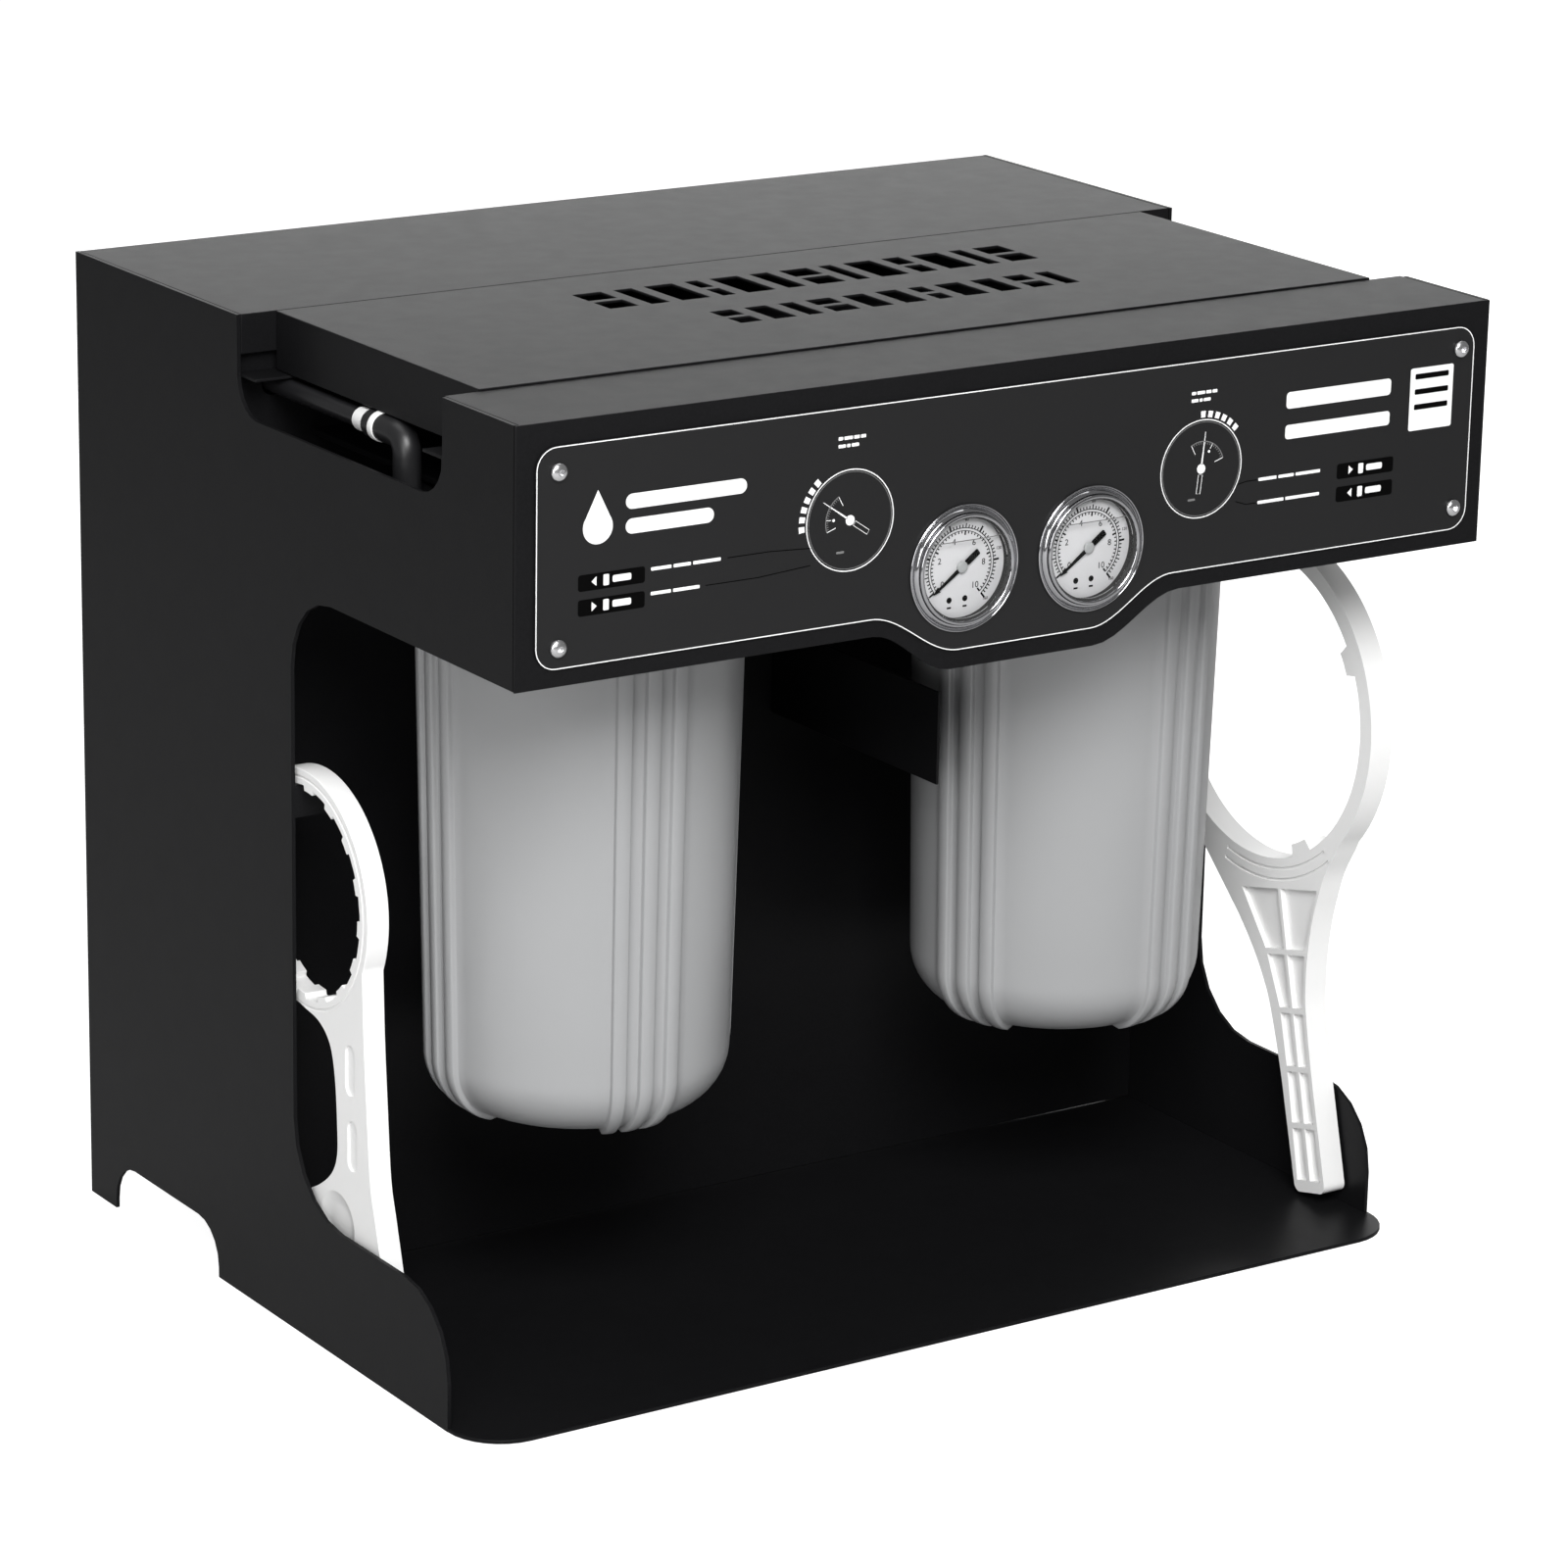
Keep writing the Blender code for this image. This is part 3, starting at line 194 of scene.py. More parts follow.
def make(name, bm, mat, bevel=0.0, steps=2, degrees=32):
    """Turns a mesh into an object with softened edges."""
    bmesh.ops.remove_doubles(bm, verts=bm.verts, dist=1e-7)
    bmesh.ops.recalc_face_normals(bm, faces=bm.faces)
    mesh = bpy.data.meshes.new(name)
    bm.to_mesh(mesh)
    bm.free()
    smooth_by_angle(mesh, degrees)
    mesh.materials.append(mat)
    obj = bpy.data.objects.new(name, mesh)
    bpy.context.collection.objects.link(obj)
    if bevel:
        soften(obj, bevel, steps, degrees)
    return obj


def soften(obj, width, steps=2, degrees=32):
    mod = obj.modifiers.new("edges", 'BEVEL')
    mod.width = width
    mod.segments = steps
    mod.limit_method = 'ANGLE'
    mod.angle_limit = math.radians(degrees)
    mod.use_clamp_overlap = True
    mod.face_strength_mode = 'FSTR_AFFECTED'
    flat = obj.modifiers.new("flat_faces", 'WEIGHTED_NORMAL')
    flat.keep_sharp = True
    flat.use_face_influence = True


def body_of(cad_node):
    return frame["nodes"][cad_node]["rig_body"]


def attach(obj, cad_node, replace=True):
    """Rides on the body of a CAD node and, if asked, stands for that node."""
    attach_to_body(obj, body_of(cad_node))
    if replace:
        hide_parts(cad_node)
    return obj


def refined(cad_node, mat, bevel, degrees=30, flat=1.0):
    """The CAD shape with clean faces and softened edges."""
    bm = bmesh.new()
    bm.from_mesh(frame["nodes"][cad_node].data)
    bmesh.ops.remove_doubles(bm, verts=bm.verts, dist=1e-5)
    bmesh.ops.dissolve_limit(bm, angle_limit=math.radians(flat), verts=bm.verts, edges=bm.edges)
    return attach(make(cad_node + "_finish", bm, mat, bevel, 2, degrees), cad_node)


def centre(cad_node):
    low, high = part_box(cad_node)
    return (low + high) / 2


def arc(middle, radius, start, end, steps):
    points = []
    for i in range(steps + 1):
        a = math.radians(start + (end - start) * i / steps)
        points.append((middle[0] + radius * math.cos(a), middle[1] + radius * math.sin(a)))
    return points


def plate(loops, place, thickness):
    """Closed plate: loops[0] is the outline, the others are holes."""
    bm = bmesh.new()
    edges = []
    for loop in loops:
        verts = [bm.verts.new(place(a, b, 0.0)) for a, b in loop]
        edges += [bm.edges.new((verts[i - 1], vert)) for i, vert in enumerate(verts)]
    bmesh.ops.triangle_fill(bm, use_beauty=True, use_dissolve=False, edges=edges)
    shift = Vector(place(0, 0, thickness)) - Vector(place(0, 0, 0))
    far = {vert: bm.verts.new(vert.co + shift) for vert in bm.verts[:]}
    for face in bm.faces[:]:
        bm.faces.new([far[vert] for vert in face.verts])
    for edge in edges:
        a, b = edge.verts
        bm.faces.new((a, b, far[b], far[a]))
    bmesh.ops.dissolve_limit(bm, angle_limit=0.01, verts=bm.verts, edges=bm.edges)
    return bm


def turned(profile, segments, axis, at, closed=False):
    """Solid of revolution of (radius, height) points about an axis through `at`."""
    frames = {
        "Z": lambda r, h, c, s: (r * c, r * s, h),
        "X": lambda r, h, c, s: (h, r * c, r * s),
        "-Y": lambda r, h, c, s: (r * c, -h, r * s),
        "Y": lambda r, h, c, s: (r * s, h, r * c),
    }
    bm = bmesh.new()
    rings = []
    for radius, height in profile:
        count = segments if radius > 0 else 1
        ring = []
        for i in range(count):
            a = 2 * math.pi * i / segments
            spot = Vector(frames[axis](radius, height, math.cos(a), math.sin(a)))
            ring.append(bm.verts.new(Vector(at) + spot))
        rings.append(ring)
    pairs = list(zip(rings, rings[1:]))
    if closed:
        pairs.append((rings[-1], rings[0]))
    for low, high in pairs:
        for i in range(segments):
            j = (i + 1) % segments
            corners = [low[i % len(low)], low[j % len(low)], high[j % len(high)], high[i % len(high)]]
            unique = list(dict.fromkeys(corners))
            if len(unique) > 2:
                bm.faces.new(unique)
    return bm


def softened(profile, radius=0.0006, steps=3):
    """Rounds the corners of a turned profile."""
    points = [profile[0]]
    for before, here, after in zip(profile, profile[1:], profile[2:]):
        a, b, c = Vector(before), Vector(here), Vector(after)
        back = min(radius, (a - b).length * 0.45)
        ahead = min(radius, (c - b).length * 0.45)
        start = b + (a - b).normalized() * back
        end = b + (c - b).normalized() * ahead
        for i in range(steps + 1):
            t = i / steps
            points.append(tuple(start * (1 - t) ** 2 + b * 2 * t * (1 - t) + end * t ** 2))
    points.append(profile[-1])
    return points


def bar(spot, size):
    """A box of the given size, placed by a matrix."""
    bm = bmesh.new()
    bmesh.ops.create_cube(bm, size=1.0, matrix=spot @ Matrix.Diagonal((*size, 1)))
    return bm


def skin(bm, rings):
    """Faces between rings of points, and over the first and the last ring."""
    for low, high in zip(rings, rings[1:]):
        for i in range(len(low)):
            j = (i + 1) % len(low)
            bm.faces.new((low[i], low[j], high[j], high[i]))
    bm.faces.new(rings[0])
    bm.faces.new(rings[-1])


def merged(parts):
    """One mesh from several closed ones."""
    whole = bmesh.new()
    for part in parts:
        bmesh.ops.recalc_face_normals(part, faces=part.faces)
        mesh = bpy.data.meshes.new("part")
        part.to_mesh(mesh)
        part.free()
        whole.from_mesh(mesh)
        bpy.data.meshes.remove(mesh)
    return whole


def cut(obj, tools):
    """Takes the tool meshes out of an object for good."""
    helper = make(obj.name + "_tool", merged(tools), obj.data.materials[0])
    mod = obj.modifiers.new("cut", 'BOOLEAN')
    mod.operation = 'DIFFERENCE'
    mod.solver = 'EXACT'
    mod.use_self = True
    mod.object = helper
    bpy.context.view_layer.update()
    scene_now = bpy.context.evaluated_depsgraph_get()
    result = bpy.data.meshes.new_from_object(obj.evaluated_get(scene_now))
    obj.modifiers.remove(mod)
    obj.data = result
    bpy.data.objects.remove(helper)
    bm = bmesh.new()
    bm.from_mesh(result)
    bmesh.ops.remove_doubles(bm, verts=bm.verts, dist=1e-6)
    bmesh.ops.dissolve_limit(bm, angle_limit=0.01, verts=bm.verts, edges=bm.edges)
    bm.to_mesh(result)
    bm.free()
    smooth_by_angle(result)
    return obj


def tube(name, points, radius, mat, bend, segments=28):
    """Round pipe along a path with rounded corners."""
    path = [Vector(points[0])]
    for before, here, after in zip(points, points[1:], points[2:]):
        here = Vector(here)
        start = here + (Vector(before) - here).normalized() * bend
        end = here + (Vector(after) - here).normalized() * bend
        for i in range(13):
            t = i / 12
            path.append(start * (1 - t) ** 2 + here * 2 * t * (1 - t) + end * t ** 2)
    path.append(Vector(points[-1]))
    bm = bmesh.new()
    side = None
    rings = []
    for i, point in enumerate(path):
        ahead = (path[min(i + 1, len(path) - 1)] - path[max(i - 1, 0)]).normalized()
        side = ahead.orthogonal().normalized() if side is None else side
        side = (side - ahead * side.dot(ahead)).normalized()
        other = ahead.cross(side)
        ring = []
        for k in range(segments):
            a = 2 * math.pi * k / segments
            ring.append(bm.verts.new(point + (side * math.cos(a) + other * math.sin(a)) * radius))
        rings.append(ring)
    skin(bm, rings)
    return make(name, bm, mat, 0.0005)


# ---------------------------------------------------------------- cabinet

FRONT_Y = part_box("fascia_plate")[0].y
BACK_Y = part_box("back_panel")[1].y
TOP_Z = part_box("rear_top_panel")[1].z


def y_of(depth):
    """World y of a depth measured from the cabinet's rear edge."""
    return BACK_Y - depth


def cabinet():
    """Sheet panels in powder coat, with the slightly rounded edges that the coat gives."""
    thin = ("side_plate_left", "side_plate_right", "base_plate", "bulkhead_panel", "rear_floor_panel",
            "rear_top_panel", "back_panel", "cover_ledge_rear", "cover_ledge_front", "top_cover",
            "header_panel", "stay_bracket", "housing_bracket", "vessel_rack", "fan_cover")
    for name in thin:
        refined(name, COAT, 0.00045)
    refined("fascia_plate", FASCIA, 0.0003)


def rear_block():
    """What sits in the closed block, and its connections through the back panel."""
    for name in ("feed_manifold", "solenoid_valve", "pressure_switch"):
        refined(name, BLACK, 0.0006)
    for name in ("membrane_vessel_1", "membrane_vessel_2", "membrane_vessel_3"):
        refined(name, WHITE, 0.0015, 40)
    for name in ("permeate_manifold", "motor_fan"):
        refined(name, WHITE, 0.0005)
    refined("control_box", GREYBOX, 0.002)
    refined("pump_motor", BLACK, 0.0012)
    refined("pump_head", CAST, 0.0010)
    refined("power_inlet", BLACK, 0.0006)
    for name in ("inlet_port", "permeate_port", "drain_port"):
        port(name)
    motor_fins()
    power_pins()


def port(name):
    """Hose nipple: hexagonal nut, threaded barrel and an open bore."""
    middle = centre(name)
    low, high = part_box(name)
    at = (middle.x, BACK_Y, middle.z)
    proud = high.y - BACK_Y
    radius = 0.0095
    inside = low.y - BACK_Y
    profile = [(0, inside), (0.0088, inside), (0.0088, 0.0003), (radius, 0.0003), (radius, 0.0055)]
    turns, thread_start, thread_depth = 6, 0.0060, 0.0007
    pitch = (proud - 0.0015 - thread_start) / turns
    for i in range(turns):
        start = thread_start + pitch * i
        profile += [(radius, start), (radius - thread_depth, start + pitch * 0.5)]
    profile += [(radius, proud - 0.0015), (radius - 0.0006, proud), (0.0070, proud),
                (0.0065, proud - 0.0008), (0.0065, 0.0020), (0, 0.0020)]
    attach(make(name + "_barrel", turned(profile, 48, "Y", at), BLACK), name)
    nut = arc((at[0], at[2]), 0.0138, 0, 360, 6)[:-1]
    hole = arc((at[0], at[2]), radius - 0.0002, 0, 360, 32)[:-1]
    bm = plate([nut, hole], lambda a, b, t: (a, BACK_Y + 0.0004 + t, b), 0.0046)
    attach(make(name + "_nut", bm, BLACK, 0.0007, 3), name, False)


def motor_fins():
    """Cooling fins along the pump motor's shell."""
    axis = Matrix.Translation((0.176, y_of(0.086), 0.105))
    out = Matrix.Translation((0, 0.0543, 0))
    count = 28
    fins = []
    for i in range(count):
        a = 2 * math.pi * i / count
        if math.sin(a) < -0.75:
            continue
        spot = axis @ Matrix.Rotation(a, 4, 'X') @ out
        fins.append(bar(spot, (0.104, 0.0030, 0.0022)))
    attach(make("motor_cooling_fins", merged(fins), BLACK, 0.0006), "pump_motor", False)


def power_pins():
    """Three flat pins in the power inlet's socket."""
    middle = centre("power_inlet")
    pins = []
    for x, z in ((-0.007, 0.001), (0.0, 0.0035), (0.007, 0.001)):
        spot = Matrix.Translation((middle.x + x, BACK_Y - 0.0062, middle.z + z - 0.002))
        pins.append(bar(spot, (0.0020, 0.0150, 0.0040)))
    attach(make("power_inlet_pins", merged(pins), STEEL, 0.0004), "power_inlet", False)


# ---------------------------------------------------------------- fascia

FILM = 0.00012              # thickness of the print
RING_R = 0.0246
RINGS = (("left", -0.1027, 0.4460), ("right", 0.1045, 0.4462))


def on_fascia(a, b, t):
    return (a, FRONT_Y - t, b)


def ribbon(points, width, closed=True):
    """Flat printed line of even width along a polyline."""
    count = len(points)
    loops = ([], [])
    for i, (a, b) in enumerate(points):
        before = points[i - 1] if closed or i else points[0]
        after = points[(i + 1) % count] if closed or i < count - 1 else points[-1]
        along = (Vector(after) - Vector(before)).normalized()
        across = Vector((-along.y, along.x)) * width / 2
        loops[0].append((a + across.x, b + across.y))
        loops[1].append((a - across.x, b - across.y))
    bm = bmesh.new()
    front = [[bm.verts.new(on_fascia(a, b, FILM)) for a, b in loop] for loop in loops]
    back = [[bm.verts.new(on_fascia(a, b, 0.0)) for a, b in loop] for loop in loops]
    last = count if closed else count - 1
    for i in range(last):
        j = (i + 1) % count
        bm.faces.new((front[0][i], front[0][j], front[1][j], front[1][i]))
        bm.faces.new((back[0][i], back[0][j], back[1][j], back[1][i]))
        for side in (0, 1):
            bm.faces.new((front[side][i], front[side][j], back[side][j], back[side][i]))
    if not closed:
        for i in (0, -1):
            bm.faces.new((front[0][i], front[1][i], back[1][i], back[0][i]))
    return bm


def pill(a0, a1, b0, b1, radius):
    """Rounded bar."""
    radius = min(radius, 0.49 * (a1 - a0), 0.49 * (b1 - b0))
    loop = []
    corners = ((a1 - radius, b1 - radius, 0), (a0 + radius, b1 - radius, 90),
               (a0 + radius, b0 + radius, 180), (a1 - radius, b0 + radius, 270))
    for a, b, start in corners:
        loop += arc((a, b), radius, start, start + 90, 6)
    return loop


def block(loop, layer=0):
    return plate([loop], lambda a, b, t: on_fascia(a, b, t + layer * FILM), FILM)


def word_bar(start, end, level):
    """A plain bar in place of a word of small print."""
    return block(pill(start, end, level - 0.0008, level + 0.0008, 0.0004))


def fascia_edge(inset):
    """The fascia's outline with the bulge under the gauges, moved inwards."""
    low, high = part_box("fascia_plate")
    straight, bulge = low.z + 0.0215 + inset, low.z + inset
    left, right, top = low.x + inset, high.x - inset, high.z - inset
    radius = 0.011 - inset

    def step(a0, b0, a1, b1):
        return [(a0 + (a1 - a0) * i / 20, b0 + (b1 - b0) * (1 - math.cos(math.pi * i / 20)) / 2)
                for i in range(21)]

    points = arc((left + radius, top - radius), radius, 90, 180, 8)
    points += arc((left + radius, straight + radius), radius, 180, 270, 8)
    points += step(-0.090 + inset / 2, straight, -0.038 + inset / 2, bulge)
    points += step(0.040 - inset / 2, bulge, 0.0895 - inset / 2, straight)
    points += arc((right - radius, straight + radius), radius, 270, 360, 8)
    points += arc((right - radius, top - radius), radius, 0, 90, 8)
    return points


def printed(name, mat, parts):
    return attach(make(name, merged(parts), mat), "fascia_plate", False)


def fascia_print():
    """Outline, instruction rings, label boxes and plain marks where a maker's print would be."""
    printed("print_outline", PRINT_WHITE, [ribbon(fascia_edge(0.0004), 0.00048)])
    white, grey, black = [], [], []
    for side, x, z in RINGS:
        white += [ribbon(arc((x, z), RING_R, 0, 360, 96)[:-1], 0.00050)]
        grey += [ribbon(arc((x, z), RING_R - 0.0011, 0, 360, 96)[:-1], 0.00025)]
        ring_marks(side, x, z, white, grey)
        rise = z + (0.0400 if side == "left" else 0.0384)
        for words, level in (((0.20, 0.34, 0.24, 0.22), rise), ((0.30, 0.16, 0.30), rise - 0.0037)):
            start = x - 0.0075
            for share in words:
                wide = 0.0162 * share
                white.append(word_bar(start, start + wide - 0.0007, level))
                start += wide
    labels(white, grey, black)
    plain_marks(white, black)
    printed("print_white", PRINT_WHITE, white)
    printed("print_grey", PRINT_GREY, grey)
    printed("print_black", PRINT_BLACK, black)


def ring_marks(side, x, z, white, grey):
    """Needle, hub, tail and small scale drawn in a ring, and the blocks outside it."""
    if side == "left":
        heading, scale, blocks, marked = 146, (119, 199), (130, 190), 11
    else:
        heading, scale, blocks, marked = 84, (18, 118), (40.5, 96.5), 7
    cos, sin = math.cos(math.radians(heading)), math.sin(math.radians(heading))

    def at(along, across):
        return (x + along * cos - across * sin, z + along * sin + across * cos)

    white.append(block(arc((x, z), 0.0025, 0, 360, 28)[:-1]))
    white.append(block([at(0.0020, 0.00045), at(0.0185, 0.00012), at(0.0185, -0.00012),
                        at(0.0020, -0.00045)]))
    tail = [at(-0.0030, 0.0012), at(-0.0125, 0.0012), at(-0.0125, -0.0012), at(-0.0030, -0.0012)]
    white.append(ribbon(tail, 0.00025))
    scale_r, steps = 0.0138, 16
    grey.append(ribbon(arc((x, z), scale_r, *scale, 24), 0.00045, False))
    for i in range(steps + 1):
        a = math.radians(scale[0] + (scale[1] - scale[0]) * i / steps)
        at_end = i in (0, steps)
        reach = 0.0086 if at_end else 0.0108 if i == marked else 0.0124
        ray = [(x + r * math.cos(a), z + r * math.sin(a)) for r in (scale_r, reach)]
        (white if at_end or i == marked else grey).append(ribbon(ray, 0.0003, False))
        if i == marked:
            spot = (x + 0.0094 * math.cos(a), z + 0.0094 * math.sin(a))
            white.append(block(arc(spot, 0.0007, 0, 360, 10)[:-1]))
    grey.append(block(pill(x - 0.0075, x - 0.0031, z - 0.0156, z - 0.0145, 0.0004)))
    count = 6
    for i in range(count):
        start = blocks[0] + (blocks[1] - blocks[0]) * i / count
        end = start + (blocks[1] - blocks[0]) / count * 0.60
        outer = arc((x, z), RING_R + 0.0044, start, end, 4)
        inner = arc((x, z), RING_R + 0.0012, end, start, 4)
        white.append(block(outer + inner))


def labels(white, grey, black):
    """Black boxes with a pointer and a bar, and their leader lines to the rings."""
    rows = ((0.4347, 0.4365), (0.4229, 0.4248))
    for row, (z, text_z) in enumerate(rows):
        for sign in (-1, 1):
            inner, outer = (-0.2163, -0.2523) if sign < 0 else (0.1900, 0.2258)
            a0, a1 = min(inner, outer), max(inner, outer)
            black.append(block(pill(a0, a1, z - 0.0041, z + 0.0037, 0.0014)))
            point = -1 if (row == 0) == (sign < 0) else 1
            tip = a0 + 0.0085
            white.append(block([(tip - point * 0.0012, z + 0.0022), (tip + point * 0.0014, z),
                                (tip - point * 0.0012, z - 0.0022)], 1))
            white.append(block(pill(a0 + 0.0135, a0 + 0.0165, z - 0.0026, z + 0.0026, 0.0005), 1))
            white.append(block(pill(a0 + 0.0185, a0 + 0.0285, z - 0.0016, z + 0.0016, 0.0008), 1))
            start, end = (-0.2130, -0.1720 - 0.012 * row) if sign < 0 else (0.1405, 0.1820)
            words = (0.30, 0.26, 0.40) if row == 0 else (0.42, 0.54)
            at = start
            for share in words:
                wide = (end - start) * share
                white.append(word_bar(at, at + wide - 0.0012, text_z))
                at += wide
            ring_x, ring_z = RINGS[0][1:] if sign < 0 else RINGS[1][1:]
            touch = (ring_x + sign * RING_R * 0.90, ring_z - RING_R * (0.44 if row == 0 else 0.78))
            far = (end + 0.001, text_z) if sign < 0 else (start - 0.001, text_z)
            bend = ((far[0] + touch[0]) / 2, text_z)
            black.append(ribbon([far, bend, touch], 0.0004, False))


def plain_marks(white, black):
    """Plain shapes in the places of the maker's print: no letters and no code."""
    drop = arc((-0.2420, 0.4600), 0.0080, -215, 35, 24) + [(-0.2420, 0.4775)]
    white.append(block(drop))
    start, half = -0.2270, 0.0036
    for z, reach in ((0.4700, 0.066), (0.4583, 0.048)):
        white.append(block(pill(start, start + reach, z - half, z + half, half)))
    start, reach = 0.1560, 0.066
    for z, half in ((0.4745, 0.0042), (0.4585, 0.0036)):
        white.append(block(pill(start, start + reach, z - half, z + half, half * 0.5)))
    white.append(block(pill(0.2345, 0.2620, 0.4500, 0.4820, 0.0012)))
    for i in range(3):
        line = pill(0.2375, 0.2590, 0.4762 - 0.0078 * i, 0.4790 - 0.0078 * i, 0.0006)
        black.append(plate([line], lambda a, b, t: (a, FRONT_Y - FILM - t, b), FILM / 2))


def screws():
    """Dome screws with a hexagon socket and a washer face."""
    for i in range(1, 5):
        name = f"fascia_screw_{i}"
        low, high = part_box(name)
        middle = (low + high) / 2
        at = (middle.x, FRONT_Y, middle.z)
        height, radius, rear = FRONT_Y - low.y, (high.x - low.x) / 2, FRONT_Y - high.y
        profile = [(0, rear), (0.0018, rear), (0.0018, 0.0003), (radius, 0.0003), (radius, 0.0007)]
        for a in range(10, 80, 10):
            turn = math.radians(a)
            profile.append((radius * math.cos(turn), 0.0007 + (height - 0.0007) * math.sin(turn)))
        profile += [(0.0016, height * 0.985), (0, height)]
        screw = make(f"dome_screw_{i}", turned(profile, 48, "-Y", at), STEEL)
        socket = arc((at[0], at[2]), 0.0016, 15 * i, 15 * i + 360, 6)[:-1]
        cut(screw, [plate([socket], lambda a, b, t: (a, FRONT_Y - height - 0.0003 + t, b), 0.0020)])
        attach(screw, name)


# ---------------------------------------------------------------- gauges

SWEEP = 266
ZERO = 216                  # degrees, down and to the left


def number_mesh(number, size, at, depth):
    """A number on a dial, as a mesh facing the front."""
    curve = bpy.data.curves.new("figure", 'FONT')
    curve.body = number
    curve.size = size
    curve.align_x = 'CENTER'
    curve.align_y = 'CENTER'
    curve.extrude = depth / 2
    curve.resolution_u = 3
    holder = bpy.data.objects.new("figure", curve)
    bpy.context.collection.objects.link(holder)
    holder.matrix_world = Matrix.Translation(at) @ Matrix.Rotation(math.pi / 2, 4, 'X')
    bpy.context.view_layer.update()
    scene_now = bpy.context.evaluated_depsgraph_get()
    mesh = bpy.data.meshes.new_from_object(holder.evaluated_get(scene_now))
    bm = bmesh.new()
    bm.from_mesh(mesh)
    bm.transform(holder.matrix_world)
    bpy.data.objects.remove(holder)
    return bm


def gauge(side):
    """Chrome case and bezel, enamelled dial with two scales, liquid line, pointer and lens."""
    low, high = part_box(f"gauge_dial_{side}")
    middle = (low + high) / 2
    at = (middle.x, FRONT_Y, middle.z)
    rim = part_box(f"gauge_case_{side}")
    front, outer = FRONT_Y - rim[0].y, (rim[1].x - rim[0].x) / 2
    rear = FRONT_Y - rim[1].y
    face, floor = FRONT_Y - low.y, FRONT_Y - high.y - 0.0003
    lip, well = 0.0011, 0.0255
    profile = softened([
        (0, rear), (0.007, rear), (0.007, rear + 0.018), (0.0296, rear + 0.018), (0.0296, 0.0002),
        (outer, 0.0002), (outer, 0.0012), (outer - 0.0005, 0.0016), (outer - 0.0010, 0.0012),
        (outer - 0.0013, 0.0005), (outer - 0.0017, 0.0005), (outer - 0.0020, 0.0014),
        (outer - 0.0028, 0.0025), (outer - 0.0037, 0.0030), (outer - 0.0040, 0.0022)], 0.0003, 4)
    profile += arc((well + lip * 0.85, front - lip), lip, -10, 170, 18)
    profile += softened([(well, front - 0.0022), (well, floor), (0, floor)], 0.0003, 3)
    attach(make(f"gauge_bezel_{side}", turned(profile, 128, "-Y", at), CHROME, degrees=60),
           f"gauge_case_{side}")
    gasket = [(well - 0.0004, face), (well - 0.0001, face), (well - 0.0001, front - 0.0016),
              (well - 0.0008, front - 0.0020), (well - 0.0008, front - 0.0026),
              (well - 0.0004, front - 0.0028)]
    attach(make(f"gauge_gasket_{side}", turned(gasket, 96, "-Y", at, True), RUBBER),
           f"gauge_case_{side}", False)

    dial_r, hole_r, back = well - 0.0001, 0.0017, floor + 0.0003
    dial = softened([(hole_r, back), (dial_r, back), (dial_r, face), (hole_r, face)], 0.0002, 2)
    attach(make(f"gauge_face_{side}", turned(dial, 96, "-Y", at, True), DIAL), f"gauge_dial_{side}")
    dial_print(side, at, face)
    pointer(side, at)
    liquid_line(side, at)

    near = FRONT_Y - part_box(f"gauge_lens_{side}")[1].y
    lens = [(0, near), (0.0240, near), (0.0246, near + 0.0002), (0.0246, near + 0.0006),
            (0.020, near + 0.00082), (0.010, near + 0.00096), (0, near + 0.0010)]
    attach(make(f"gauge_glass_{side}", turned(lens, 96, "-Y", at), GLASS), f"gauge_lens_{side}")


def dial_print(side, at, face):
    """Outer and inner scales with numbers, and the small marks near the bottom."""
    ink = 0.00008

    def place(a, b, t):
        return (at[0] + a, at[1] - face - t, at[2] + b)

    def ray(angle, near, far, width):
        cos, sin = math.cos(math.radians(angle)), math.sin(math.radians(angle))
        half = width / 2
        return plate([[(near * cos - half * sin, near * sin + half * cos),
                       (far * cos - half * sin, far * sin + half * cos),
                       (far * cos + half * sin, far * sin - half * cos),
                       (near * cos + half * sin, near * sin - half * cos)]], place, ink)

    def band(radius, width):
        outer = arc((0, 0), radius + width / 2, ZERO, ZERO - SWEEP, 80)
        inner = arc((0, 0), radius - width / 2, ZERO - SWEEP, ZERO, 80)
        return plate([outer + inner], place, ink)

    outer_r, inner_r = 0.0190, 0.0176
    parts = [band(outer_r, 0.00040), band(inner_r, 0.00034)]
    steps = 50
    for i in range(steps + 1):
        angle = ZERO - SWEEP * i / steps
        major, half = i % 10 == 0, i % 5 == 0
        parts.append(ray(angle, outer_r, 0.0222 if major else 0.0213 if half else 0.0206,
                         0.0010 if major else 0.0006))
    steps = 40
    for i in range(steps + 1):
        angle = ZERO - SWEEP * i / steps
        major = i % 10 == 0
        parts.append(ray(angle, inner_r, 0.0155 if major else 0.0163, 0.0009 if major else 0.0006))
    for unit, last, radius, size in ((2, 5, 0.0132, 0.0044), (40, 4, 0.0229, 0.0022)):
        for i in range(last + 1):
            angle = math.radians(ZERO - SWEEP * i / last)
            spot = place(radius * math.cos(angle), radius * math.sin(angle), ink / 2)
            parts.append(number_mesh(str(unit * i), size, spot, ink))
    for x in (-0.0064, 0.0028):
        parts.append(plate([arc((x, -0.0160), 0.0015, 0, 360, 24)[:-1]], place, ink))
        parts.append(plate([[(x - 0.0012, -0.0202), (x + 0.0012, -0.0202), (x + 0.0012, -0.0193),
                             (x - 0.0012, -0.0193)]], place, ink))
    attach(make(f"dial_scale_{side}", merged(parts), PRINT_BLACK), f"gauge_dial_{side}",
           False)


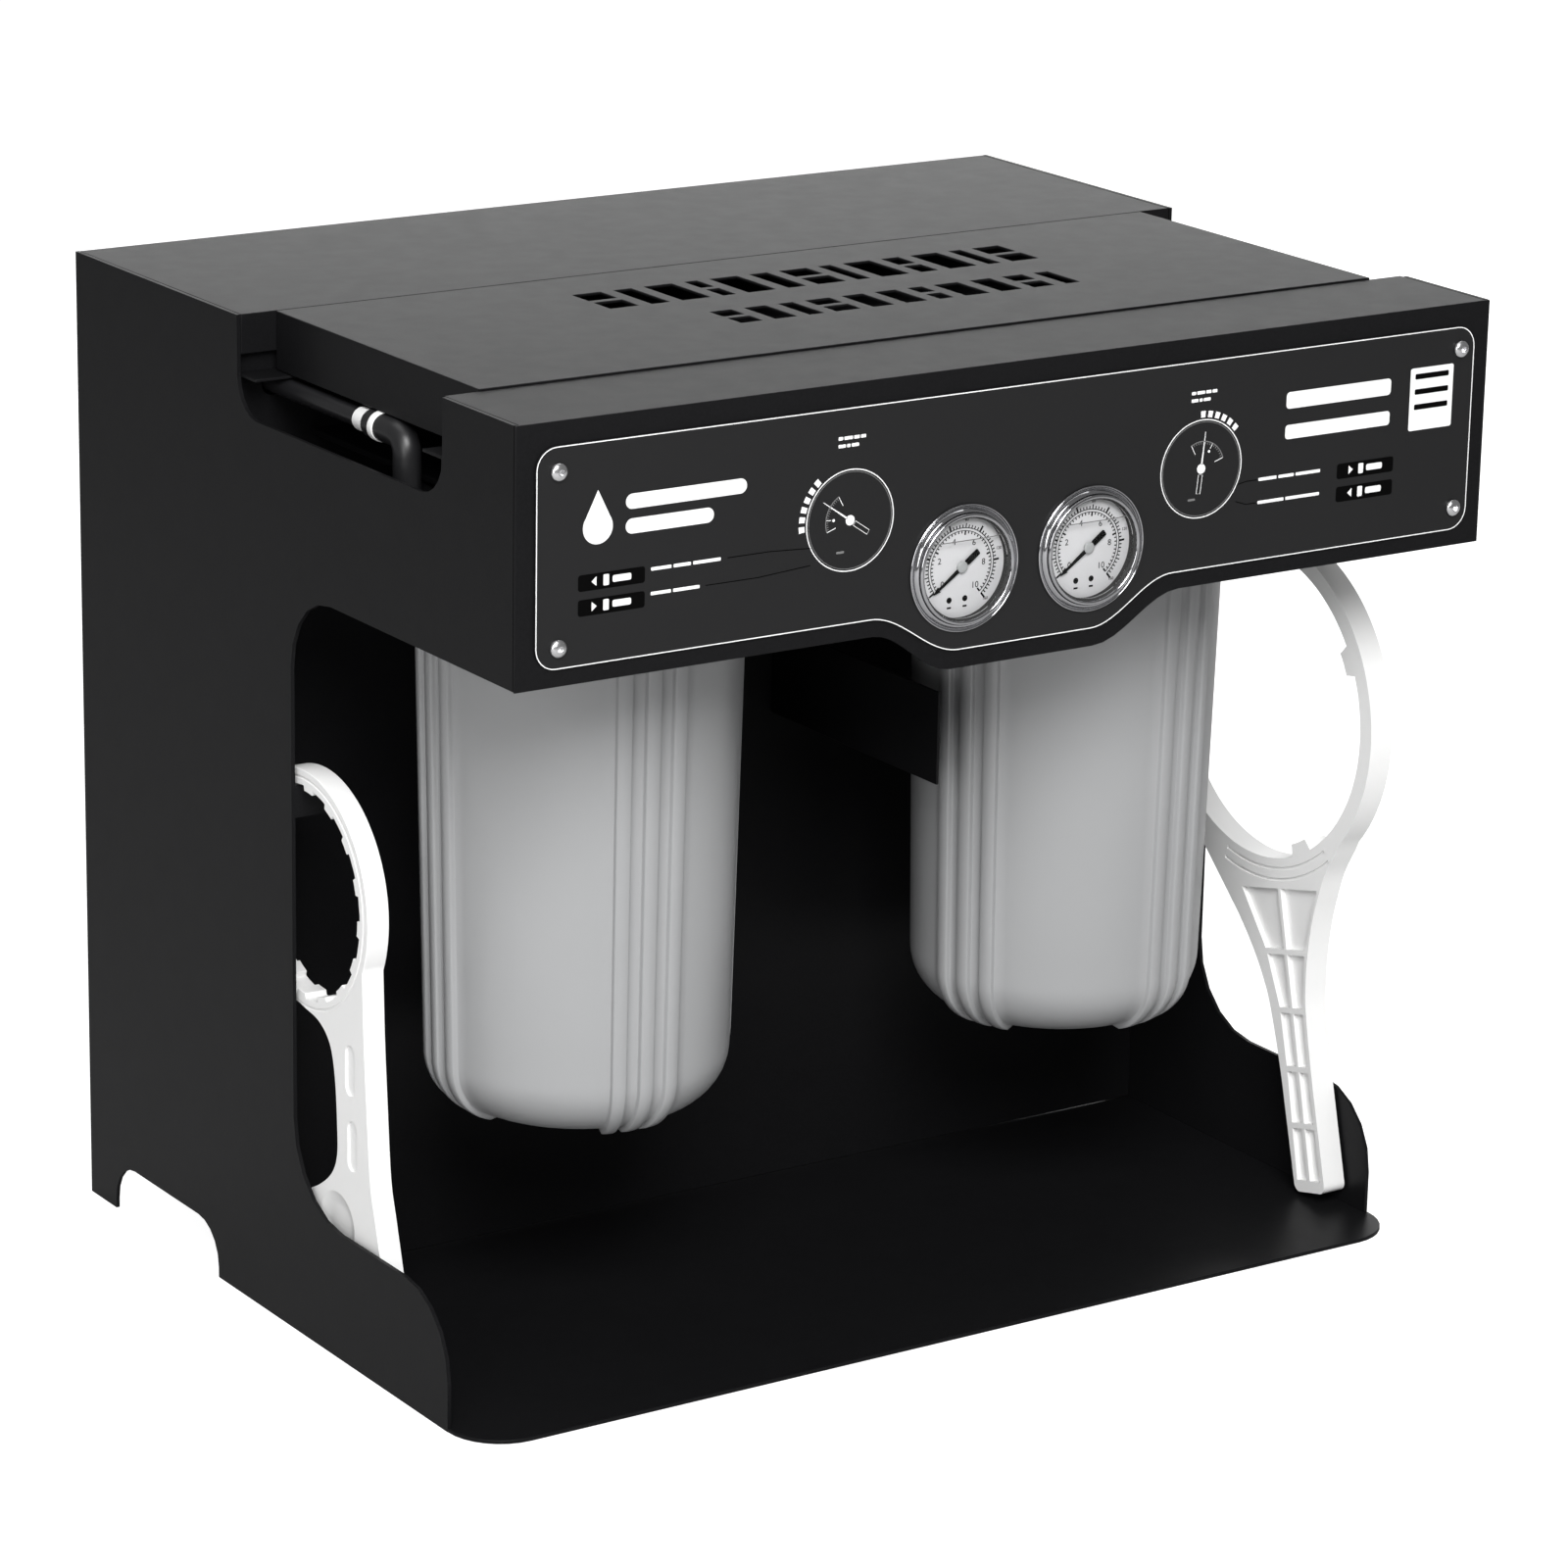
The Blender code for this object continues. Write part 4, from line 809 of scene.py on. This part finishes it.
def pointer(side, at):
    """Needle with an arrow tip, a thick tail and a domed hub."""
    name = f"gauge_pointer_{side}"
    low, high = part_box(name)
    height = FRONT_Y - low.y - 0.0009
    turn = math.radians(ZERO)
    cos, sin = math.cos(turn), math.sin(turn)
    outline = [(0.0203, 0.0), (0.0162, 0.0015), (0.0166, 0.0006), (0.0030, 0.0010)]
    outline += [(-0.0025, 0.0010), (-0.0036, 0.0016), (-0.0112, 0.0016), (-0.0116, 0.0012)]
    outline += [(a, -b) for a, b in reversed(outline[1:])]

    def place(a, b, t):
        return (at[0] + a * cos - b * sin, at[1] - height - t, at[2] + a * sin + b * cos)

    attach(make(f"pointer_needle_{side}", plate([outline], place, 0.0006), PRINT_BLACK, 0.0001),
           name)
    rear = FRONT_Y - high.y
    pin_r, hub_r = 0.0011, 0.0029
    hub = softened([(0, rear), (pin_r, rear), (pin_r, height - 0.0002), (hub_r, height - 0.0002),
                    (hub_r, height + 0.0009), (0.0020, height + 0.0013), (0, height + 0.0014)],
                   0.0003, 3)
    attach(make(f"pointer_hub_{side}", turned(hub, 48, "-Y", at), GREYBOX), name, False)


def liquid_line(side, at):
    """Edge of the filling liquid near the top of the gauge."""
    height, half, climb, steps = 0.0132, 0.0212, 0.00108, 30
    depth = FRONT_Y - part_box(f"gauge_lens_{side}")[1].y - 0.0005
    loop = []
    for i in range(steps + 1):
        a = half * (2 * i / steps - 1)
        loop.append((a, height + climb * (abs(a) / half) ** 8))
    back = [(a, b + 0.00045) for a, b in reversed(loop)]
    bm = plate([loop + back], lambda a, b, t: (at[0] + a, at[1] - depth - t, at[2] + b), 0.0002)
    attach(make(f"liquid_line_{side}", bm, PRINT_GREY), f"gauge_lens_{side}", False)


# ---------------------------------------------------------------- filter housings

RIB_GROUPS = {"left": 264, "right": 286.5}
RIB_PITCH = 10.5
RIB_HEIGHT = 0.0030


def rib_columns(side):
    """Angles round the bowl, each with its share of a rib's height: three ribs a quarter."""
    profile = ((-3.2, 0.0), (-3.0, 0.07), (-2.8, 0.45), (-2.6, 0.88), (-2.25, 1.0), (0, 1.04),
               (2.25, 1.0), (2.6, 0.88), (2.8, 0.45), (3.0, 0.07), (3.2, 0.0))
    reach = RIB_PITCH + profile[-1][0]
    gaps = 14
    columns = []
    for quarter in range(4):
        group = RIB_GROUPS[side] + 90 * quarter
        for rib in (-1, 0, 1):
            columns += [(group + rib * RIB_PITCH + a, share) for a, share in profile]
        columns += [(group + reach + (90 - 2 * reach) * i / gaps, 0.0) for i in range(1, gaps)]
    return columns


def sump_rows(bottom, shoulder, rim):
    """Radius, height, share of a rib's height and lean of each ring, from the bottom up."""
    low_r, top_r, fillet, neck, bore = 0.0764, 0.0810, 0.031, 0.0762, 0.0700
    wall_start = bottom + fillet

    def wall(z):
        return low_r + (top_r - low_r) * (z - wall_start) / (shoulder - wall_start)

    rows = [(0.0100, bottom + 0.0022, 0, 0), (0.0185, bottom + 0.0022, 0, 0),
            (0.0195, bottom + 0.0018, 0, 0), (0.0202, bottom + 0.0004, 0, 0),
            (0.0215, bottom, 0, 0), (0.0380, bottom, 0, 0)]
    base_r, steps = low_r - fillet, 16
    for i in range(steps + 1):
        a = math.radians(-90 + 90 * i / steps)
        share = min(1.0, max(0.0, (i - 0.5) / 2.5))
        rows.append((base_r + fillet * math.cos(a), bottom + fillet * (1 + math.sin(a)), share, a))
    full, steps = 0.3700, 8     # above this the ribs fade out
    for i in range(1, steps + 1):
        z = wall_start + (full - wall_start) * i / steps
        rows.append((wall(z), z, 1.0, 0))
    for rise, share in ((0.004, 0.93), (0.007, 0.75), (0.009, 0.4), (0.010, 0.0)):
        rows.append((wall(full + rise), full + rise, share, 0))
    rows += [(wall(shoulder - 0.004), shoulder - 0.004, 0, 0), (top_r, shoulder - 0.0012, 0, 0),
             (top_r - 0.0004, shoulder - 0.0004, 0, 0), (top_r - 0.0015, shoulder, 0, 0),
             (neck, shoulder, 0, 0), (neck, rim - 0.001, 0, 0), (neck - 0.001, rim, 0, 0),
             (bore + 0.001, rim, 0, 0), (bore, rim - 0.001, 0, 0), (bore, 0.142, 0, 0),
             (0.0668, 0.131, 0, 0), (0.0575, 0.1252, 0, 0)]
    return rows


def sump(side):
    """Bowl with rounded ribs that run down the wall and round the bottom corner."""
    name = f"filter_sump_{side}"
    low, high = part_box(name)
    middle = centre(f"cartridge_{side}")
    middle.z = 0
    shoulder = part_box(f"filter_head_{side}")[0].z - 0.001
    columns = rib_columns(side)
    bm = bmesh.new()
    rings = []
    for radius, z, share, lean in sump_rows(low.z, shoulder, high.z):
        ring = []
        for angle, rib in columns:
            out = RIB_HEIGHT * share * rib
            r = radius + out * math.cos(lean)
            turn = math.radians(angle)
            spot = Vector((r * math.cos(turn), r * math.sin(turn), z + out * math.sin(lean)))
            ring.append(bm.verts.new(middle + spot))
        rings.append(ring)
    skin(bm, rings)
    attach(make(f"sump_bowl_{side}", bm, SUMP, degrees=60), name)


def head(side):
    """Head with a ribbed collar, and the flange of its port on each side."""
    name = f"filter_head_{side}"
    refined(name, BLACK, 0.0008, 30)
    middle = centre(f"cartridge_{side}")
    axis = Matrix.Translation((middle.x, middle.y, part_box(name)[0].z + 0.0225))
    out = Matrix.Translation((0.0905, 0, 0))
    count = 36
    ribs = []
    for i in range(count):
        a = 2 * math.pi * i / count
        if abs(math.cos(a)) > 0.95:     # where the ports are
            continue
        spot = axis @ Matrix.Rotation(a, 4, 'Z') @ out
        ribs.append(bar(spot, (0.0016, 0.0038, 0.036)))
    attach(make(f"head_collar_ribs_{side}", merged(ribs), BLACK, 0.0006), name, False)


def inner_parts(side):
    refined(f"sump_seal_{side}", RUBBER, 0.0)
    refined(f"cartridge_{side}", FELT, 0.0015)
    refined(f"relief_button_{side}", RED, 0.0008)


def pipes():
    """Pipes and hose between the ports, with the white coupling seen through the hand-hold."""
    refined("head_link_pipe", BLACK, 0.0008, 30)
    head_box, riser_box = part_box("filter_head_left"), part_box("inlet_riser")
    x, z = centre("inlet_hose").x, centre("inlet_hose").z
    riser_r = 0.0070
    port_z = riser_box[0].z + riser_r
    y = centre("cartridge_left").y
    front = riser_box[0].y + riser_r
    route = [(head_box[0].x - 0.0003, y, port_z), (x, y, port_z), (x, front, port_z + 0.016),
             (x, front, z), (x, riser_box[1].y, z)]
    attach(tube("riser_pipe", route, 0.0069, BLACK, 0.0098), "inlet_riser")
    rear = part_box("inlet_coupling")[1].y
    profile = softened([(0, 0), (0.0058, 0), (0.0060, 0.0165), (0.0074, 0.0172), (0.0074, 0.0220),
                        (0.0050, 0.0222), (0, 0.0222)], 0.0006)
    attach(make("white_coupling", turned(profile, 48, "-Y", (x, rear, z)), WHITE), "inlet_coupling")
    low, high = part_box("inlet_hose")
    attach(tube("inlet_hose_line", [(x, low.y, z), (x, high.y, z)], 0.0049, HOSE, 0.01), "inlet_hose")
    low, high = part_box("outlet_pipe")
    pipe_x = high.x - 0.0090
    attach(tube("outlet_line", [(low.x, y, port_z), (pipe_x, y, port_z), (pipe_x, high.y, port_z)],
                0.0089, BLACK, 0.0138), "outlet_pipe")


# ---------------------------------------------------------------- wrenches

def small_wrench():
    """Toothed ring with an offset handle that flares into a broad lower jaw."""
    name = "wrench_small"
    low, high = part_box(name)
    near, thick = low.x, high.x - low.x
    ring = (0.2315, 0.2325)
    outer, bore_r, tall, teeth = 0.063, 0.055, 0.0025, 16

    def place(d, z, t):
        return (near + t, y_of(d), z)

    outline = arc(ring, outer, -24, 238, 72)
    shoulder = [(0.2120, 0.1755), (0.2290, 0.1725), (0.2450, 0.1695), (0.2560, 0.1610), (0.2610, 0.1450),
                (0.2632, 0.1200), (0.2628, 0.1040), (0.2570, 0.0930), (0.2450, 0.0835), (0.2300, 0.0755)]
    outline += curve_through([outline[-1]] + shoulder)[1:]
    outline += arc((0.2340, 0.0560), 0.0170, 112, 205, 10)
    outline += arc((0.2400, 0.0200), 0.0140, 180, 270, 8)
    outline += arc((0.3000, 0.0230), 0.0170, -90, 15, 10)
    outline += curve_through([(0.3110, 0.0480), (0.3020, 0.0800), (0.2965, 0.1010), (0.2930, 0.1400),
                              (0.2905, 0.1720), outline[0]])[:-1]
    bore = []
    crest = bore_r - tall
    for i in range(teeth):
        middle = 97 + (i + 0.5) * 360 / teeth
        for turn, radius in ((-4.9, bore_r), (-4.3, crest), (0, crest), (4.3, crest),
                             (4.9, bore_r), (8.2, bore_r)):
            a = math.radians(middle + turn)
            bore.append((ring[0] + radius * math.cos(a), ring[1] + radius * math.sin(a)))
    wrench = make("small_wrench_body", plate([outline, bore], place, thick), WHITE)
    tools = []
    slot_r = 0.0045
    for middle, bottom, top in ((0.2765, 0.1400, 0.1660), (0.2785, 0.1010, 0.1270)):
        slot = arc((middle, top - slot_r), slot_r, 0, 180, 10)
        slot += arc((middle, bottom + slot_r), slot_r, 180, 360, 10)
        for x in (near - 0.002, near + thick - 0.0012):
            tools.append(plate([slot], lambda d, z, t: (x + t, y_of(d), z), 0.0032))
    dish = [(0, 0), (0.009, 0.0002), (0.0125, 0), (0.0165, -0.0018), (0.018, -0.0026),
            (0.018, -0.006), (0, -0.006)]
    tools.append(turned(dish, 48, "X", (near + 0.0024, y_of(0.2630), 0.0680)))
    rim = arc(ring, bore_r + 0.0045, 0, 360, 72)[:-1]
    rim_in = arc(ring, bore_r + 0.0033, 0, 360, 72)[:-1]
    tools.append(plate([rim, rim_in], lambda d, z, t: (near - 0.001 + t, y_of(d), z), 0.0016))
    cut(wrench, tools)
    soften(wrench, 0.0007, 2, 35)
    attach(wrench, name)


def curve_through(points, steps=6):
    """Smooth curve through points."""
    result = []
    for i in range(len(points) - 1):
        p0 = Vector(points[max(i - 1, 0)])
        p1, p2 = Vector(points[i]), Vector(points[i + 1])
        p3 = Vector(points[min(i + 2, len(points) - 1)])
        for k in range(steps):
            t = k / steps
            spot = 0.5 * ((2 * p1) + (p2 - p0) * t + (2 * p0 - 5 * p1 + 4 * p2 - p3) * t ** 2
                          + (3 * p1 - p0 - 3 * p2 + p3) * t ** 3)
            result.append((spot.x, spot.y))
    result.append(tuple(points[-1]))
    return result


def large_wrench():
    """Lugged ring on a tapered handle with ribbed pockets in both faces."""
    name = "wrench_large"
    low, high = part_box(name)
    near, thick = low.x, high.x - low.x
    ring, tilt = (0.290, 0.2667), math.radians(13.3)
    outer, bore_r, tall, end = 0.0938, 0.0845, 0.0066, 0.2670
    cos, sin = math.cos(tilt), math.sin(tilt)

    def place_at(x):
        return lambda a, b, t: (x + t, y_of(ring[0] + a * cos + b * sin), ring[1] + a * sin - b * cos)

    rear_edge = [(0.0740, 0.0665), (0.0840, 0.0595), (0.1050, 0.0455), (0.1180, 0.0370),
                 (0.1350, 0.0280), (0.1520, 0.0215), (0.1670, 0.0182), (0.2000, 0.0150),
                 (0.2300, 0.0140), (end - 0.006, 0.0130)]
    front_edge = [(0.0800, 0.0520), (0.0920, 0.0410), (0.1050, 0.0330), (0.1180, 0.0262),
                  (0.1350, 0.0195), (0.1520, 0.0150), (0.1670, 0.0126), (0.2000, 0.0118),
                  (0.2300, 0.0124), (end - 0.006, 0.0130)]
    outline = arc((0, 0), outer, 54, -226, 96)
    outline += curve_through([(-half, along) for along, half in rear_edge], 4)
    tip_r = 0.0045
    outline += arc((-0.0085, end - tip_r), tip_r, 180, 90, 6)
    outline += arc((0.0085, end - tip_r), tip_r, 90, 0, 6)
    outline += curve_through([(half, along) for along, half in reversed(front_edge)], 4)
    bore = []
    lug, crest = math.degrees(0.098), bore_r - tall
    for i in range(4):
        middle = 74.5 + 90 * i
        for turn, radius in ((-lug, bore_r), (-lug * 0.8, crest), (0, crest), (lug * 0.8, crest),
                             (lug, bore_r)):
            a = math.radians(middle + turn)
            bore.append((radius * math.cos(a), radius * math.sin(a)))
        bore += arc((0, 0), bore_r, middle + lug + 3, middle + 90 - lug - 3, 26)
    wrench = make("large_wrench_body", plate([outline, bore], place_at(near), thick), WHITE)
    rib, edge, deep = 0.0012, 0.0028, 0.0028
    cells = ((0.1010, 0.0355, 0.1340, 0.0198), (0.1370, 0.0190, 0.1660, 0.0127),
             (0.1690, 0.0126, 0.1980, 0.0118), (0.2010, 0.0118, 0.2290, 0.0122),
             (0.2320, 0.0124, 0.2605, 0.0128))
    tools = []
    for start, start_half, stop, stop_half in cells:
        for sign in (-1, 1):
            loop = [(sign * rib, start), (sign * (start_half - edge), start),
                    (sign * (stop_half - edge), stop), (sign * rib, stop)]
            for x in (near - 0.002, near + thick - deep):
                tools.append(plate([loop], place_at(x), deep + 0.002))
    for radius in (0.0900, 0.0960):
        groove = arc((0, 0), radius + 0.0010, 62, 118, 24) + arc((0, 0), radius - 0.0008, 118, 62, 24)
        for x in (near - 0.002, near + thick - 0.0010):
            tools.append(plate([groove], place_at(x), 0.0030))
    cut(wrench, tools)
    soften(wrench, 0.0008, 2, 35)
    attach(wrench, name)


# ---------------------------------------------------------------- stage

def camera():
    """Looks at the unit from the front left and slightly above, with a long lens."""
    azimuth, elevation, roll = math.radians(-33.715), math.radians(16.868), 0.0194958
    back = Vector((math.sin(azimuth) * math.cos(elevation), -math.cos(azimuth) * math.cos(elevation),
                   math.sin(elevation)))
    right = (-back).cross(Vector((0, 0, 1))).normalized()
    up = right.cross(-back)
    level_right = math.cos(roll) * right + math.sin(roll) * up
    level_up = -math.sin(roll) * right + math.cos(roll) * up
    data = bpy.data.cameras.new("camera")
    data.lens = 131.71
    data.sensor_width = 36
    data.clip_end = 50
    obj = bpy.data.objects.new("camera", data)
    bpy.context.collection.objects.link(obj)
    turn = Matrix((level_right, level_up, back)).transposed().to_4x4()
    obj.matrix_world = Matrix.Translation((-1.57878, -2.60029 + BACK_Y, 1.10919)) @ turn
    bpy.context.scene.camera = obj


def softbox(name, at, target, width, height, watts, seen=False):
    data = bpy.data.lights.new(name, 'AREA')
    data.shape = 'RECTANGLE'
    data.size = width
    data.size_y = height
    data.energy = watts
    obj = bpy.data.objects.new(name, data)
    bpy.context.collection.objects.link(obj)
    look = (Vector(target) - Vector(at)).to_track_quat('-Z', 'Y').to_matrix().to_4x4()
    obj.matrix_world = Matrix.Translation(at) @ look
    obj.visible_camera = seen


def camera_only(tree, low, high):
    """One value for what the camera sees directly, another for the light it gives."""
    path = node(tree, "ShaderNodeLightPath")
    level = node(tree, "ShaderNodeMapRange")
    level.inputs["To Min"].default_value = low
    level.inputs["To Max"].default_value = high
    tree.links.new(path.outputs["Is Camera Ray"], level.inputs["Value"])
    return level.outputs["Result"]


def stage():
    """Pale floor and surround that the camera sees as white, and softboxes."""
    bm = bmesh.new()
    bmesh.ops.create_grid(bm, x_segments=1, y_segments=1, size=6.0)
    pale = finish("pale_floor", (0.52, 0.52, 0.52), 0.8, mottle=0.01, cloud=0.5, depth=0.0, specular=0.1)
    shader = pale.node_tree.nodes["Principled BSDF"]
    shader.inputs["Emission Color"].default_value = (1, 1, 1, 1)
    pale.node_tree.links.new(camera_only(pale.node_tree, 0.0, 0.90), shader.inputs["Emission Strength"])
    floor = make("floor", bm, pale)
    floor.location.z = -0.0005
    world = bpy.data.worlds.new("studio")
    bpy.context.scene.world = world
    world.use_nodes = True
    tree = world.node_tree
    background = tree.nodes["Background"]
    background.inputs["Color"].default_value = (1, 1, 1, 1)
    tree.links.new(camera_only(tree, 0.22, 1.0), background.inputs["Strength"])
    softbox("key", (-1.2, -2.5, 2.4), (0, 0, 0.25), 1.6, 1.6, 135)
    softbox("fill", (-2.6, -1.9, 1.1), (0, 0, 0.25), 1.2, 1.6, 26)
    softbox("top", (0.0, 0.5, 2.6), (0, 0, 0.3), 2.4, 2.0, 22)
    softbox("rear", (1.1, 2.3, 0.75), (0, 0.3, 0.45), 3.6, 0.7, 22)
    bpy.context.scene.view_settings.view_transform = 'Standard'


def main():
    camera()
    cabinet()
    rear_block()
    fascia_print()
    screws()
    for side in SIDES:
        gauge(side)
        sump(side)
        head(side)
        inner_parts(side)
    pipes()
    small_wrench()
    large_wrench()
    stage()


main()
